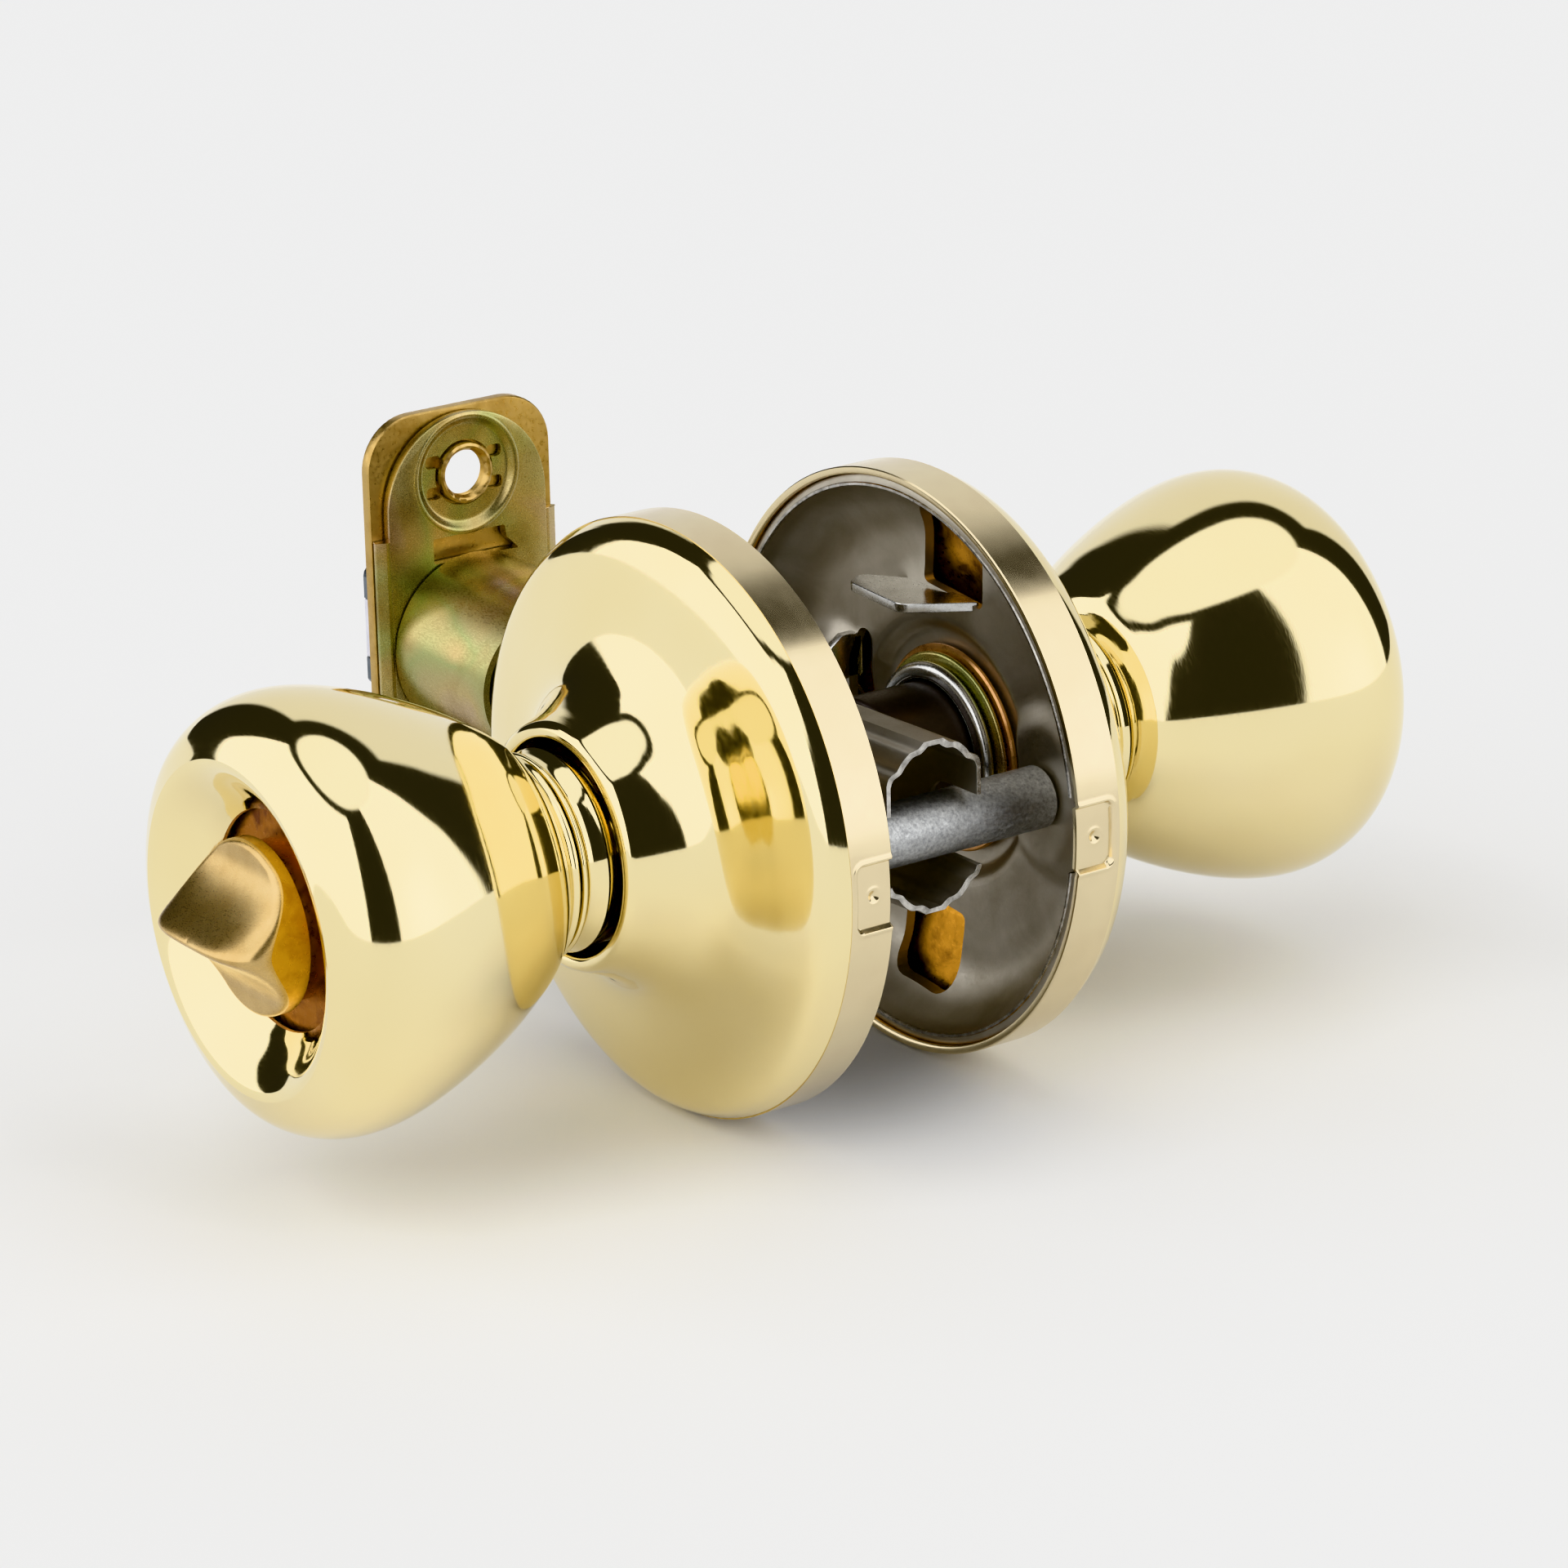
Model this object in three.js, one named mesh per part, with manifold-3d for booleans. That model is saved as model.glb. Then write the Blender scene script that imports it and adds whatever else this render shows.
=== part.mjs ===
// Tubular privacy door knob set: two knobs on dished roses, a turn button and a spring latch.
// Millimetres, +Z up. Y is the knob axis (interior knob at -Y), X the latch axis (bolt at -X).
// The origin is the crossing of the two axes, the centre of the door's cross bore.
import * as THREE from 'three';
import { mergeVertices } from 'three/addons/utils/BufferGeometryUtils.js';
import Module from 'manifold-3d';

const wasm = await Module();
wasm.setup();

// ---- driving dimensions -------------------------------------------------------------------
const GAP = 0.3; // clearance between neighbouring pieces
const MARGIN = 1; // how far a cutting tool runs past the face it cuts

const RIM_Y = 12.4; // door-side rim of each rose, from the middle of the door
const ROSE_RADIUS = 33.4;
const ROSE_SHEET = 0.9;
// outer face of the rose, radius and distance from the middle of the door
const ROSE_PROFILE = [
  [ROSE_RADIUS, RIM_Y], [ROSE_RADIUS, 17.4], [33.0, 18.5], [32.2, 19.8], [31.2, 20.6],
  [29.0, 21.3], [24.5, 22.3], [21.2, 23.0], [19.0, 23.8], [17.6, 24.7], [16.5, 26.0],
  [15.4, 27.8], [14.5, 29.6], [13.8, 31.4], [13.0, 32.4],
];
// inner face of the rose, from the collar back to the rim
const ROSE_INSIDE = [
  [11.8, 32.4], [12.3, 31.6], [13.6, 29.2], [15.7, 25.5], [17.0, 24.0], [18.6, 22.9],
  [21.0, 22.1], [24.3, 21.4], [28.8, 20.4], [30.8, 19.8], [31.5, 19.2],
  [ROSE_RADIUS - ROSE_SHEET, 17.2], [ROSE_RADIUS - ROSE_SHEET, RIM_Y],
];

const NOTCH_HALF = 3.7; // pry notch in the rose's rim
const NOTCH_HEIGHT = 4.6;
const NOTCH_SINK = 0.45;
const NOTCH_PAD = 0.6;
const NOTCH_LAP = 0.2;
const DIMPLE_RADIUS = 0.9;

const PLATE_SHEET = 1.2;
const PLATE_RADIUS = 32.1;
const PLATE_FLOOR = 19.6; // face of the dished mounting plate that looks at the door
const HUB_FLOOR = 21.2; // the same face where it is sunk round the hub
const PLATE_HOLE = 9.4;
// door-side face of the mounting plate
const PLATE_PROFILE = [
  [PLATE_HOLE, HUB_FLOOR], [13.0, HUB_FLOOR], [15.2, PLATE_FLOOR], [22.0, PLATE_FLOOR],
  [25.6, 19.2], [28.4, 17.7], [30.2, 15.4],
  [PLATE_RADIUS - PLATE_SHEET, 12.9],
];
const WINDOW_LOW = 18.4; // windows above and below the hub
const WINDOW_HIGH = 27.6;
const WINDOW_HALF = 5.6;
const WINDOW_NARROW = 4.4;
const TAB_HALF = 5.0; // tab lanced out of the upper window
const TAB_REACH = 5.4;
const SLOT_X = 14.8; // upright slot beside the hub and the tab bent out of it
const SLOT_HALF = 1.4;
const SLOT_LOW = 2.0;
const SLOT_HIGH = 10.5;
const SIDE_TAB_REACH = 3.8;
const SIDE_TAB_LOW = 4.4;
const SIDE_TAB_HIGH = 9.7;
const NOTCH_CLEAR = 0.6; // between the plate's edge and the pry notch
const NOTCH_DEEP = 3.4;

const POST_X = 19.05; // half the spacing of the two through posts
const POST_RADIUS = 3.5;
const POST_SPIGOT = 2.3;
const POST_BORE = 2.1;
const POST_BORE_DEPTH = 14.0;
const RIVET_RADIUS = 3.8;
const RIVET_HEIGHT = 0.9;
const RIVET_SLOPE = 0.8;
const PAD_RISE = 1.2; // raised pad round each post
const PAD_RADIUS = 5.6;
const PAD_HALF = 2.6;
const PAD_WELL = 4.5; // hollow behind the pad, round the rivet or the screw's head
const SPIGOT_CLEAR = 0.4;
const SCREW_RADIUS = 1.75;
const SCREW_HEAD_RADIUS = 4.0;
const SCREW_HEAD = 1.8;
const SCREW_LENGTH = 13.0;
const SCREW_POINT = 0.8;
const CROSS_WIDE = 0.9; // crossed slots in the screw's head
const CROSS_LONG = 3.6;

const TUBE_RADIUS = 8.2; // drive tube that carries each knob through its hub
const TUBE_BORE = 7.2;
const TUBE_TIP = 7.6;
const TUBE_END = 50.0;
const TUBE_CAP = 2.4;
const TUBE_CAP_HOLE = 4.6;
const TUBE_BEVEL = 0.4;
const BUSH_BORE = 8.6;
const BUSH_RADIUS = 9.1;
const BUSH_END = 25.0;
const FLANGE_RADIUS = 11.2;
const FLANGE_THICK = 0.5;
const WASHER_BORE = 9.5;
const WASHER_RADIUS = 11.9;
const WASHER_THICK = 0.5;
const RING_RADIUS = 10.3;
const RING_BORE = 8.5;
const RING_THICK = 1.7;
const RING_BEVEL = 0.5;

const COIL_RADIUS = 11.0; // return spring round the bush, behind the plate
const COIL_WIRE = 0.45;
const COIL_START = 23.15;
const COIL_END = 25.0;
const COIL_TURNS = 1.5;

const NECK_BORE = 8.5;
const NECK_FIXED = 32.6; // the neck is the same up to here on both sides
// turned neck between rose and knob, outside face
const NECK_PROFILE = [
  [10.9, 25.8], [10.9, NECK_FIXED], [10.65, 34.2], [10.95, 35.7], [11.5, 36.0], [11.5, 36.6], [11.1, 36.8],
];

const SHELL_START = 37.1;
const EXTERIOR_SET = 1.5; // how much closer the exterior knob sits to its rose
// outside face of a knob, from its neck over the widest part to the edge of its face
const KNOB_PROFILE = [
  [11.2, SHELL_START], [11.7, 37.6], [11.5, 38.1], [12.3, 38.8], [14.2, 40.3], [16.3, 43.1],
  [18.3, 46.4], [20.2, 50.2], [21.9, 54.3], [23.2, 58.4], [23.85, 62.2], [23.7, 65.6],
  [22.6, 68.6], [20.6, 71.0], [17.6, 72.4],
];
// inside face of a knob's shell, back from the edge of its face to the neck
const KNOB_INSIDE = [
  [19.6, 70.2], [21.9, 67.4], [22.8, 62.0], [21.3, 55.4], [18.4, 48.4], [14.9, 43.2], [10.6, 40.2],
  [10.4, SHELL_START],
];
const BUTTON_HOLE = 11.9; // dished opening round the turn button
const INTERIOR_FACE = [
  [16.3, 71.5], [14.6, 69.9], [12.7, 68.2], [BUTTON_HOLE, 67.2], [BUTTON_HOLE, 66.9], [12.6, 66.9],
  [13.4, 67.6], [15.2, 69.0], [17.0, 70.6],
];
const RELEASE_HOLE = 1.6; // emergency release hole in the exterior knob
const EXTERIOR_FACE = [
  [13.6, 73.3], [8.0, 73.9], [RELEASE_HOLE, 74.0], [RELEASE_HOLE, 73.0], [8.0, 72.9], [13.4, 72.3],
];

// stamped cup that holds the shell to the drive tube
const CORE_PROFILE = [
  [NECK_BORE, 41.6], [12.2, 41.9], [14.6, 43.9], [16.8, 47.2], [16.8, 48.3], [NECK_BORE, 48.3],
];

const INSERT_Y = 61.4; // stamped disc behind the turn button
const INSERT_THICK = 1.2;
const INSERT_RADIUS = 22.2;
const STEM_RADIUS = 4.0;
const STEM_CLEAR = 0.4;
const STEM_START = 56.0;
const BUTTON_RADIUS = 9.4;
const BUTTON_FLANGE = 12.4;
const BUTTON_BACK = 64.8;
const FLANGE_TOP = 66.2;
const BUTTON_SHOULDER = 70.4;
const BUTTON_TOP = 78.2;
const BUTTON_TOP_RADIUS = 8.0;
const BUTTON_BEVEL = 0.6;
const SCOOP_RADIUS = 7.3; // the two hollows that leave the button's grip between them
const SCOOP_Z = 8.6;
const SCOOP_Y = 78.2;

const BAR_WIDE = 4.6; // flat lock bar from the button into the latch
const BAR_THICK = 1.4;
const BAR_START = -63.0;
const BAR_END = 20.0;

const SPINDLE_RADIUS = 4.2; // tubular spindle with two flats, through the latch cam
const SPINDLE_FLAT = 3.4;
const SPINDLE_BORE = 2.9;
const SPINDLE_START = -24.0;
const SPINDLE_END = 46.0;

const FACE_X = -69.85; // outer face of the latch faceplate, the backset
const FACE_WIDE = 25.4;
const FACE_HIGH = 57.15;
const FACE_CORNER = 6.35;
const FACE_THICK = 1.5;
const FACE_HOLE_Z = 20.64; // screw holes above and below the bolt
const COLLAR_HOLE = 2.4;
const SCREW_COLLAR = 3.5;
const SCREW_COLLAR_LONG = 3.4;
const SINK_RADIUS = 4.8;
const BACK_THICK = 1.2;
const BACK_WIDE = 24.4;
const BACK_SHOULDER = 15.2;
const BACK_ARCH = 10.2;
const BACK_ARCH_Z = 17.2;
const BACK_HOLE = 4.0;
const BACK_NOTCH = 4.9;
const BACK_NOTCH_WIDE = 1.8;
const DISH_INNER = 5.5;
const DISH_OUTER = 6.7;
const DISH_RISE = 0.6;
const BACK_SLOT_WIDE = 9.0; // slots above and below the latch tube
const BACK_SLOT_HIGH = 1.6;
const BACK_SLOT_Z = 12.3;

const LATCH_TUBE_RADIUS = 11.0;
const LATCH_TUBE_BORE = 10.2;
const LATCH_TUBE_END = -44.0;
const LIP_RADIUS = 26.0; // curved cut at the inner end of the latch tube
const LIP_DEEP = 3.6;
const LIP_START = 4.0;

const CASE_START = -46.0;
const CASE_END = 23.5;
const CASE_SHEET = 0.8;
// upper right quarter of the case's ribbed outline, Y and Z
const CASE_QUARTER = [
  [1.5, 9.75], [2.5, 8.95], [3.6, 8.75], [4.4, 7.6], [5.5, 7.1], [6.3, 5.9],
];
const CASE_NOTCH_X = 15.0;
const CASE_NOTCH_HALF = 4.0;
const CASE_POST_HOLE = 3.9;
const CASE_HUB_HOLE = 5.9;

const BOLT_TIP = -79.75;
const BOLT_BACK = -56.0;
const BOLT_HALF_WIDE = 7.4;
const BOLT_HALF_HIGH = 8.3;
const BOLT_ROUND = 9.8;
const BOLT_BEVEL_X = -69.8;
const BOLT_NOSE_Y = -4.6;
const BOLT_BEVEL_BULGE = [0.6, BOLT_TIP + 3.0]; // Y and X of the bevel's fullest point
const BOLT_CORNER = 0.7;
const INSERT_HALF = 3.6;
const INSERT_BACK = -62.0;
const HOLE_CLEAR = 0.35;

const TAIL_FRONT = -55.7; // tailpiece that joins the bolt to the cam
const TAIL_BACK = -53.0;
const TAIL_BAR_LOW = 6.1;
const TAIL_BAR_HIGH = 7.5;
const TAIL_HALF = 2.8;
const TAIL_END = 0.6;
const TAIL_LUG = -2.3;
const TAIL_SLOT_START = -9.0;
const TAIL_SLOT_HALF = 1.75;

const CAM_RADIUS = 5.4;
const CAM_HALF = 6.8;
const CAM_ARM_REACH = 7.9;
const CAM_ARM_WIDE = 2.6;
const CAM_ARM_HALF = 1.4;
const CAM_LEAN = 35; // degrees from upright, towards the bolt

const SEAT_FRONT = -28.3; // block in the case that the latch spring pushes against
const SEAT_BACK = -24.5;
const SEAT_HALF_WIDE = 5.1;
const SEAT_HALF_HIGH = 5.6;
const LATCH_COIL_RADIUS = 3.2;
const LATCH_COIL_WIRE = 0.5;
const LATCH_COIL_TURNS = 6;

const ROUND = 32; // facets round the large turned pieces
const SMALL = 20;
const TINY = 14;
const PART_TURN = 12; // facets per turn of a coil
const WIRE_SIDES = 3;

// ---- materials -----------------------------------------------------------------------------
const finish = (colour, roughness, metalness = 1) => () =>
  new THREE.MeshStandardMaterial({ color: colour, roughness, metalness });
const polishedBrass = finish(0xe2c878, 0.12);
const satinBrass = finish(0xb89a62, 0.35);
const lacquerBrass = finish(0xa8894c, 0.3);
const greySteel = finish(0x6f6c66, 0.42);
const brightSteel = finish(0xa9abac, 0.3);
const darkSteel = finish(0x2e2c2b, 0.5);
const castSteel = finish(0x4c4f54, 0.6);
const dichromate = finish(0xa39a5c, 0.35);
const copper = finish(0xa86a3a, 0.35);
const greyNylon = finish(0xb9b7c4, 0.45, 0);

// ---- solids --------------------------------------------------------------------------------
function signedVolume(geometry) {
  const position = geometry.getAttribute('position');
  const index = geometry.index;
  const a = new THREE.Vector3();
  const b = new THREE.Vector3();
  const c = new THREE.Vector3();
  let volume = 0;
  for (let i = 0; i < index.count; i += 3) {
    a.fromBufferAttribute(position, index.getX(i));
    b.fromBufferAttribute(position, index.getX(i + 1));
    c.fromBufferAttribute(position, index.getX(i + 2));
    volume += a.dot(b.cross(c)) / 6;
  }
  return volume;
}

// a three.js geometry as a solid that faces out
function solid(source) {
  const bare = source.clone();
  bare.deleteAttribute('normal');
  bare.deleteAttribute('uv');
  const geometry = mergeVertices(bare, 1e-5);
  const triangles = Array.from(geometry.index.array);
  const kept = [];
  const flip = signedVolume(geometry) < 0;
  for (let i = 0; i < triangles.length; i += 3) {
    const [a, b, c] = triangles.slice(i, i + 3);
    if (a !== b && b !== c && a !== c) kept.push(a, flip ? c : b, flip ? b : c);
  }
  const vertices = new Float32Array(geometry.getAttribute('position').array);
  const mesh = new wasm.Mesh({ numProp: 3, vertProperties: vertices, triVerts: new Uint32Array(kept) });
  return new wasm.Manifold(mesh);
}

function geometryOf(body) {
  const mesh = body.getMesh();
  const geometry = new THREE.BufferGeometry();
  geometry.setAttribute('position', new THREE.BufferAttribute(new Float32Array(mesh.vertProperties), 3));
  geometry.setIndex(new THREE.BufferAttribute(new Uint32Array(mesh.triVerts), 1));
  geometry.computeVertexNormals();
  return geometry;
}

function lathe(points, segments = ROUND) {
  const profile = points.map(([radius, along]) => new THREE.Vector2(radius, along));
  profile.push(profile[0].clone());
  return solid(new THREE.LatheGeometry(profile, segments));
}

function box(low, high) {
  const size = high.map((value, i) => value - low[i]);
  const geometry = new THREE.BoxGeometry(...size);
  geometry.translate(...low.map((value, i) => value + size[i] / 2));
  return solid(geometry);
}

// a round rod along Y
function rodY(radius, start, end, x = 0, z = 0, segments = SMALL) {
  const geometry = new THREE.CylinderGeometry(radius, radius, end - start, segments);
  geometry.translate(x, (start + end) / 2, z);
  return solid(geometry);
}

// a round rod, or a cone, along X
function rodX(radius, start, end, y = 0, z = 0, segments = SMALL, endRadius = radius) {
  const geometry = new THREE.CylinderGeometry(endRadius, radius, end - start, segments);
  geometry.rotateZ(-Math.PI / 2);
  geometry.translate((start + end) / 2, y, z);
  return solid(geometry);
}

// an outline in the Y-Z plane pushed along X
function prismX(outline, start, end) {
  const shape = new THREE.Shape(outline.map(([y, z]) => new THREE.Vector2(y, z)));
  return prismOf(shape, start, end);
}

function prismOf(shape, start, end, curveSegments = 6) {
  const options = { depth: end - start, bevelEnabled: false, curveSegments };
  const geometry = new THREE.ExtrudeGeometry(shape, options);
  geometry.applyMatrix4(new THREE.Matrix4().makeBasis(
    new THREE.Vector3(0, 1, 0), new THREE.Vector3(0, 0, 1), new THREE.Vector3(1, 0, 0)));
  geometry.translate(start, 0, 0);
  return solid(geometry);
}

function roundedShape(wide, high, corner) {
  const w = wide / 2;
  const h = high / 2;
  const shape = new THREE.Shape();
  shape.moveTo(-w + corner, -h);
  shape.lineTo(w - corner, -h);
  shape.absarc(w - corner, -h + corner, corner, -Math.PI / 2, 0);
  shape.lineTo(w, h - corner);
  shape.absarc(w - corner, h - corner, corner, 0, Math.PI / 2);
  shape.lineTo(-w + corner, h);
  shape.absarc(-w + corner, h - corner, corner, Math.PI / 2, Math.PI);
  shape.lineTo(-w, -h + corner);
  shape.absarc(-w + corner, -h + corner, corner, Math.PI, Math.PI * 1.5);
  return shape;
}

// the closed section of a sheet whose one face follows the points
function sheetSection(points, thickness) {
  const offset = points.map(([radius, along], i) => {
    const before = points[Math.max(i - 1, 0)];
    const after = points[Math.min(i + 1, points.length - 1)];
    const dr = after[0] - before[0];
    const da = after[1] - before[1];
    const length = Math.hypot(dr, da);
    return [radius - thickness * da / length, along + thickness * dr / length];
  });
  return [...points, ...offset.reverse()];
}

// the geometry of a coil of round wire about the Y axis
function coil(radius, wire, start, end, turns) {
  const rise = end - start;
  const path = new THREE.Curve();
  path.getPoint = (t, target = new THREE.Vector3()) => {
    const angle = t * turns * Math.PI * 2;
    return target.set(radius * Math.cos(angle), start + rise * t, radius * Math.sin(angle));
  };
  const section = new THREE.Shape();
  section.absarc(0, 0, wire, 0, Math.PI * 2);
  const steps = Math.round(turns * PART_TURN);
  return new THREE.ExtrudeGeometry(section, {
    steps, extrudePath: path, bevelEnabled: false, curveSegments: WIRE_SIDES,
  });
}

// pieces of the interior half are the exterior ones turned half round the upright axis
function onSide(body, side) {
  return side > 0 ? body : body.rotate([0, 0, 180]);
}

// ---- rose and mounting plate ----------------------------------------------------------------
function rose(side) {
  let body = lathe([...ROSE_PROFILE, ...ROSE_INSIDE]);
  const top = RIM_Y + NOTCH_HEIGHT;
  const sunk = ROSE_RADIUS - NOTCH_SINK;
  const inside = ROSE_RADIUS - ROSE_SHEET;
  const outside = ROSE_RADIUS + MARGIN;
  const facing = (low, high, half) => box([inside - 3, low, -half], [outside, high, half]);
  const skin = lathe([
    [sunk, RIM_Y - MARGIN], [outside, RIM_Y - MARGIN], [outside, top + MARGIN], [sunk, top + MARGIN],
  ]).intersect(facing(RIM_Y - MARGIN, top, NOTCH_HALF));
  const padTop = top + NOTCH_LAP;
  const backing = lathe([
    [inside - NOTCH_PAD, RIM_Y], [inside + NOTCH_LAP, RIM_Y],
    [inside + NOTCH_LAP, padTop], [inside - NOTCH_PAD, padTop],
  ]).intersect(facing(RIM_Y, padTop, NOTCH_HALF + NOTCH_LAP));
  const ball = new THREE.SphereGeometry(DIMPLE_RADIUS, 10, 8);
  ball.translate(sunk + DIMPLE_RADIUS / 3, RIM_Y + NOTCH_HEIGHT / 2, 0);
  body = body.add(backing).subtract(skin).subtract(solid(ball));
  return side > 0 ? body : body.rotate([180, 0, 0]);
}

function trapezoidWindow(sign) {
  const outline = [
    [-WINDOW_HALF, WINDOW_LOW], [WINDOW_HALF, WINDOW_LOW],
    [WINDOW_NARROW, WINDOW_HIGH], [-WINDOW_NARROW, WINDOW_HIGH],
  ];
  const shape = new THREE.Shape(outline.map(([x, z]) => new THREE.Vector2(x, z * sign)));
  const geometry = new THREE.ExtrudeGeometry(shape, { depth: 10, bevelEnabled: false });
  geometry.rotateX(Math.PI / 2);
  geometry.translate(0, PLATE_FLOOR + 4, 0);
  return solid(geometry);
}

function postPad(x) {
  const low = PLATE_FLOOR - PAD_RISE;
  const high = PLATE_FLOOR + PLATE_SHEET / 2;
  return rodY(PAD_RADIUS, low, high, x, PAD_HALF, TINY)
    .add(rodY(PAD_RADIUS, low, high, x, -PAD_HALF, TINY))
    .add(box([x - PAD_RADIUS, low, -PAD_HALF], [x + PAD_RADIUS, high, PAD_HALF]));
}

function mountingPlate(side) {
  let body = lathe(sheetSection(PLATE_PROFILE, PLATE_SHEET));
  body = body.add(postPad(POST_X)).add(postPad(-POST_X));
  const back = PLATE_FLOOR + PLATE_SHEET / 2;
  const tabTop = WINDOW_LOW - 0.2;
  const tab = box(
    [-TAB_HALF, PLATE_FLOOR - TAB_REACH, tabTop - PLATE_SHEET], [TAB_HALF, back, tabTop]);
  const slotEdge = -SLOT_X - SLOT_HALF;
  const sideTab = box([slotEdge - PLATE_SHEET, PLATE_FLOOR - SIDE_TAB_REACH, SIDE_TAB_LOW],
    [slotEdge, back, SIDE_TAB_HIGH]);
  body = body.add(tab).add(sideTab);
  body = body.subtract(trapezoidWindow(1)).subtract(trapezoidWindow(-1));
  const low = PLATE_FLOOR - PAD_RISE - MARGIN;
  const high = PLATE_FLOOR + PLATE_SHEET + MARGIN;
  body = body.subtract(box([slotEdge, low, SLOT_LOW], [-SLOT_X + SLOT_HALF, high, SLOT_HIGH]));
  for (const x of [POST_X, -POST_X]) {
    body = body.subtract(rodY(POST_SPIGOT + SPIGOT_CLEAR, low, high, x, 0, TINY));
    body = body.subtract(rodY(PAD_WELL, PLATE_FLOOR, high, x, 0, TINY));
  }
  const half = NOTCH_HALF + NOTCH_CLEAR;
  const ends = [side * (PLATE_RADIUS - NOTCH_DEEP), side * (PLATE_RADIUS + MARGIN)];
  body = body.subtract(box([Math.min(...ends), RIM_Y - MARGIN, -half],
    [Math.max(...ends), RIM_Y + NOTCH_HEIGHT + NOTCH_CLEAR, half]));
  return onSide(body, side);
}

function hubBush(side) {
  const top = HUB_FLOOR - GAP - WASHER_THICK - GAP;
  return onSide(lathe([
    [BUSH_BORE, top - FLANGE_THICK], [FLANGE_RADIUS, top - FLANGE_THICK], [FLANGE_RADIUS, top],
    [BUSH_RADIUS, top], [BUSH_RADIUS, BUSH_END], [BUSH_BORE, BUSH_END],
  ], SMALL), side);
}

function thrustWasher(side) {
  const top = HUB_FLOOR - GAP;
  return onSide(lathe([
    [WASHER_BORE, top - WASHER_THICK], [WASHER_RADIUS, top - WASHER_THICK],
    [WASHER_RADIUS, top], [WASHER_BORE, top],
  ], SMALL), side);
}

function retainingRing(side) {
  const top = HUB_FLOOR - WASHER_THICK - FLANGE_THICK - 3 * GAP;
  const low = top - RING_THICK;
  return onSide(lathe([
    [RING_BORE, low], [RING_RADIUS - RING_BEVEL, low], [RING_RADIUS, low + RING_BEVEL],
    [RING_RADIUS, top - RING_BEVEL], [RING_RADIUS - RING_BEVEL, top], [RING_BORE, top],
  ], SMALL), side);
}

function returnSpring(side) {
  return onSide(solid(coil(COIL_RADIUS, COIL_WIRE, COIL_START, COIL_END, COIL_TURNS)), side);
}

function post(x) {
  const shoulder = PLATE_FLOOR - PAD_RISE - GAP;
  const rivet = PLATE_FLOOR + GAP;
  const floor = -shoulder + POST_BORE_DEPTH;
  const body = lathe([
    [0, floor], [POST_BORE, floor], [POST_BORE, -shoulder], [POST_RADIUS, -shoulder],
    [POST_RADIUS, shoulder], [POST_SPIGOT, shoulder], [POST_SPIGOT, rivet],
    [RIVET_RADIUS, rivet], [RIVET_RADIUS - RIVET_SLOPE, rivet + RIVET_HEIGHT],
    [0, rivet + RIVET_HEIGHT],
  ], TINY);
  return body.translate([x, 0, 0]);
}

function mountingScrew(x) {
  const under = PLATE_FLOOR + GAP;
  const tip = under - SCREW_LENGTH;
  const top = under + SCREW_HEAD;
  const body = lathe([
    [0, tip], [SCREW_RADIUS - SCREW_POINT, tip], [SCREW_RADIUS, tip + SCREW_POINT],
    [SCREW_RADIUS, under], [SCREW_HEAD_RADIUS, under], [SCREW_HEAD_RADIUS - 0.5, under + SCREW_HEAD * 0.7],
    [SCREW_HEAD_RADIUS * 0.6, top], [0, top],
  ], TINY);
  const slot = (wide, long) =>
    box([-wide / 2, top - SCREW_HEAD / 2, -long / 2], [wide / 2, top + MARGIN, long / 2]);
  const crossed = body.subtract(slot(CROSS_WIDE, CROSS_LONG)).subtract(slot(CROSS_LONG, CROSS_WIDE));
  return crossed.rotate([0, 0, 180]).translate([x, 0, 0]);
}

// ---- knobs -----------------------------------------------------------------------------------
function driveTube(side) {
  return onSide(lathe([
    [TUBE_CAP_HOLE, TUBE_TIP], [TUBE_RADIUS - TUBE_BEVEL, TUBE_TIP],
    [TUBE_RADIUS, TUBE_TIP + TUBE_BEVEL], [TUBE_RADIUS, TUBE_END], [TUBE_BORE, TUBE_END],
    [TUBE_BORE, TUBE_TIP + TUBE_CAP], [TUBE_CAP_HOLE, TUBE_TIP + TUBE_CAP],
  ], SMALL), side);
}

function knobSet(side) {
  return side > 0 ? EXTERIOR_SET : 0;
}

function knobNeck(side) {
  const outside = NECK_PROFILE.map(([radius, along]) =>
    [radius, along > NECK_FIXED ? along - knobSet(side) : along]);
  const first = outside[0];
  const last = outside[outside.length - 1];
  return onSide(lathe([...outside, [NECK_BORE, last[1]], [NECK_BORE, first[1]]]), side);
}

function knobShell(side) {
  const face = side > 0 ? EXTERIOR_FACE : INTERIOR_FACE;
  const shell = lathe([...KNOB_PROFILE, ...face, ...KNOB_INSIDE]);
  return onSide(shell.translate([0, -knobSet(side), 0]), side);
}

function knobCore(side) {
  return onSide(lathe(CORE_PROFILE, SMALL).translate([0, -knobSet(side), 0]), side);
}

function knobInsert() {
  const high = INSERT_Y + INSERT_THICK;
  const hole = STEM_RADIUS + STEM_CLEAR;
  return onSide(lathe([
    [hole, INSERT_Y], [INSERT_RADIUS, INSERT_Y], [INSERT_RADIUS, high], [hole, high],
  ]), -1);
}

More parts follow.
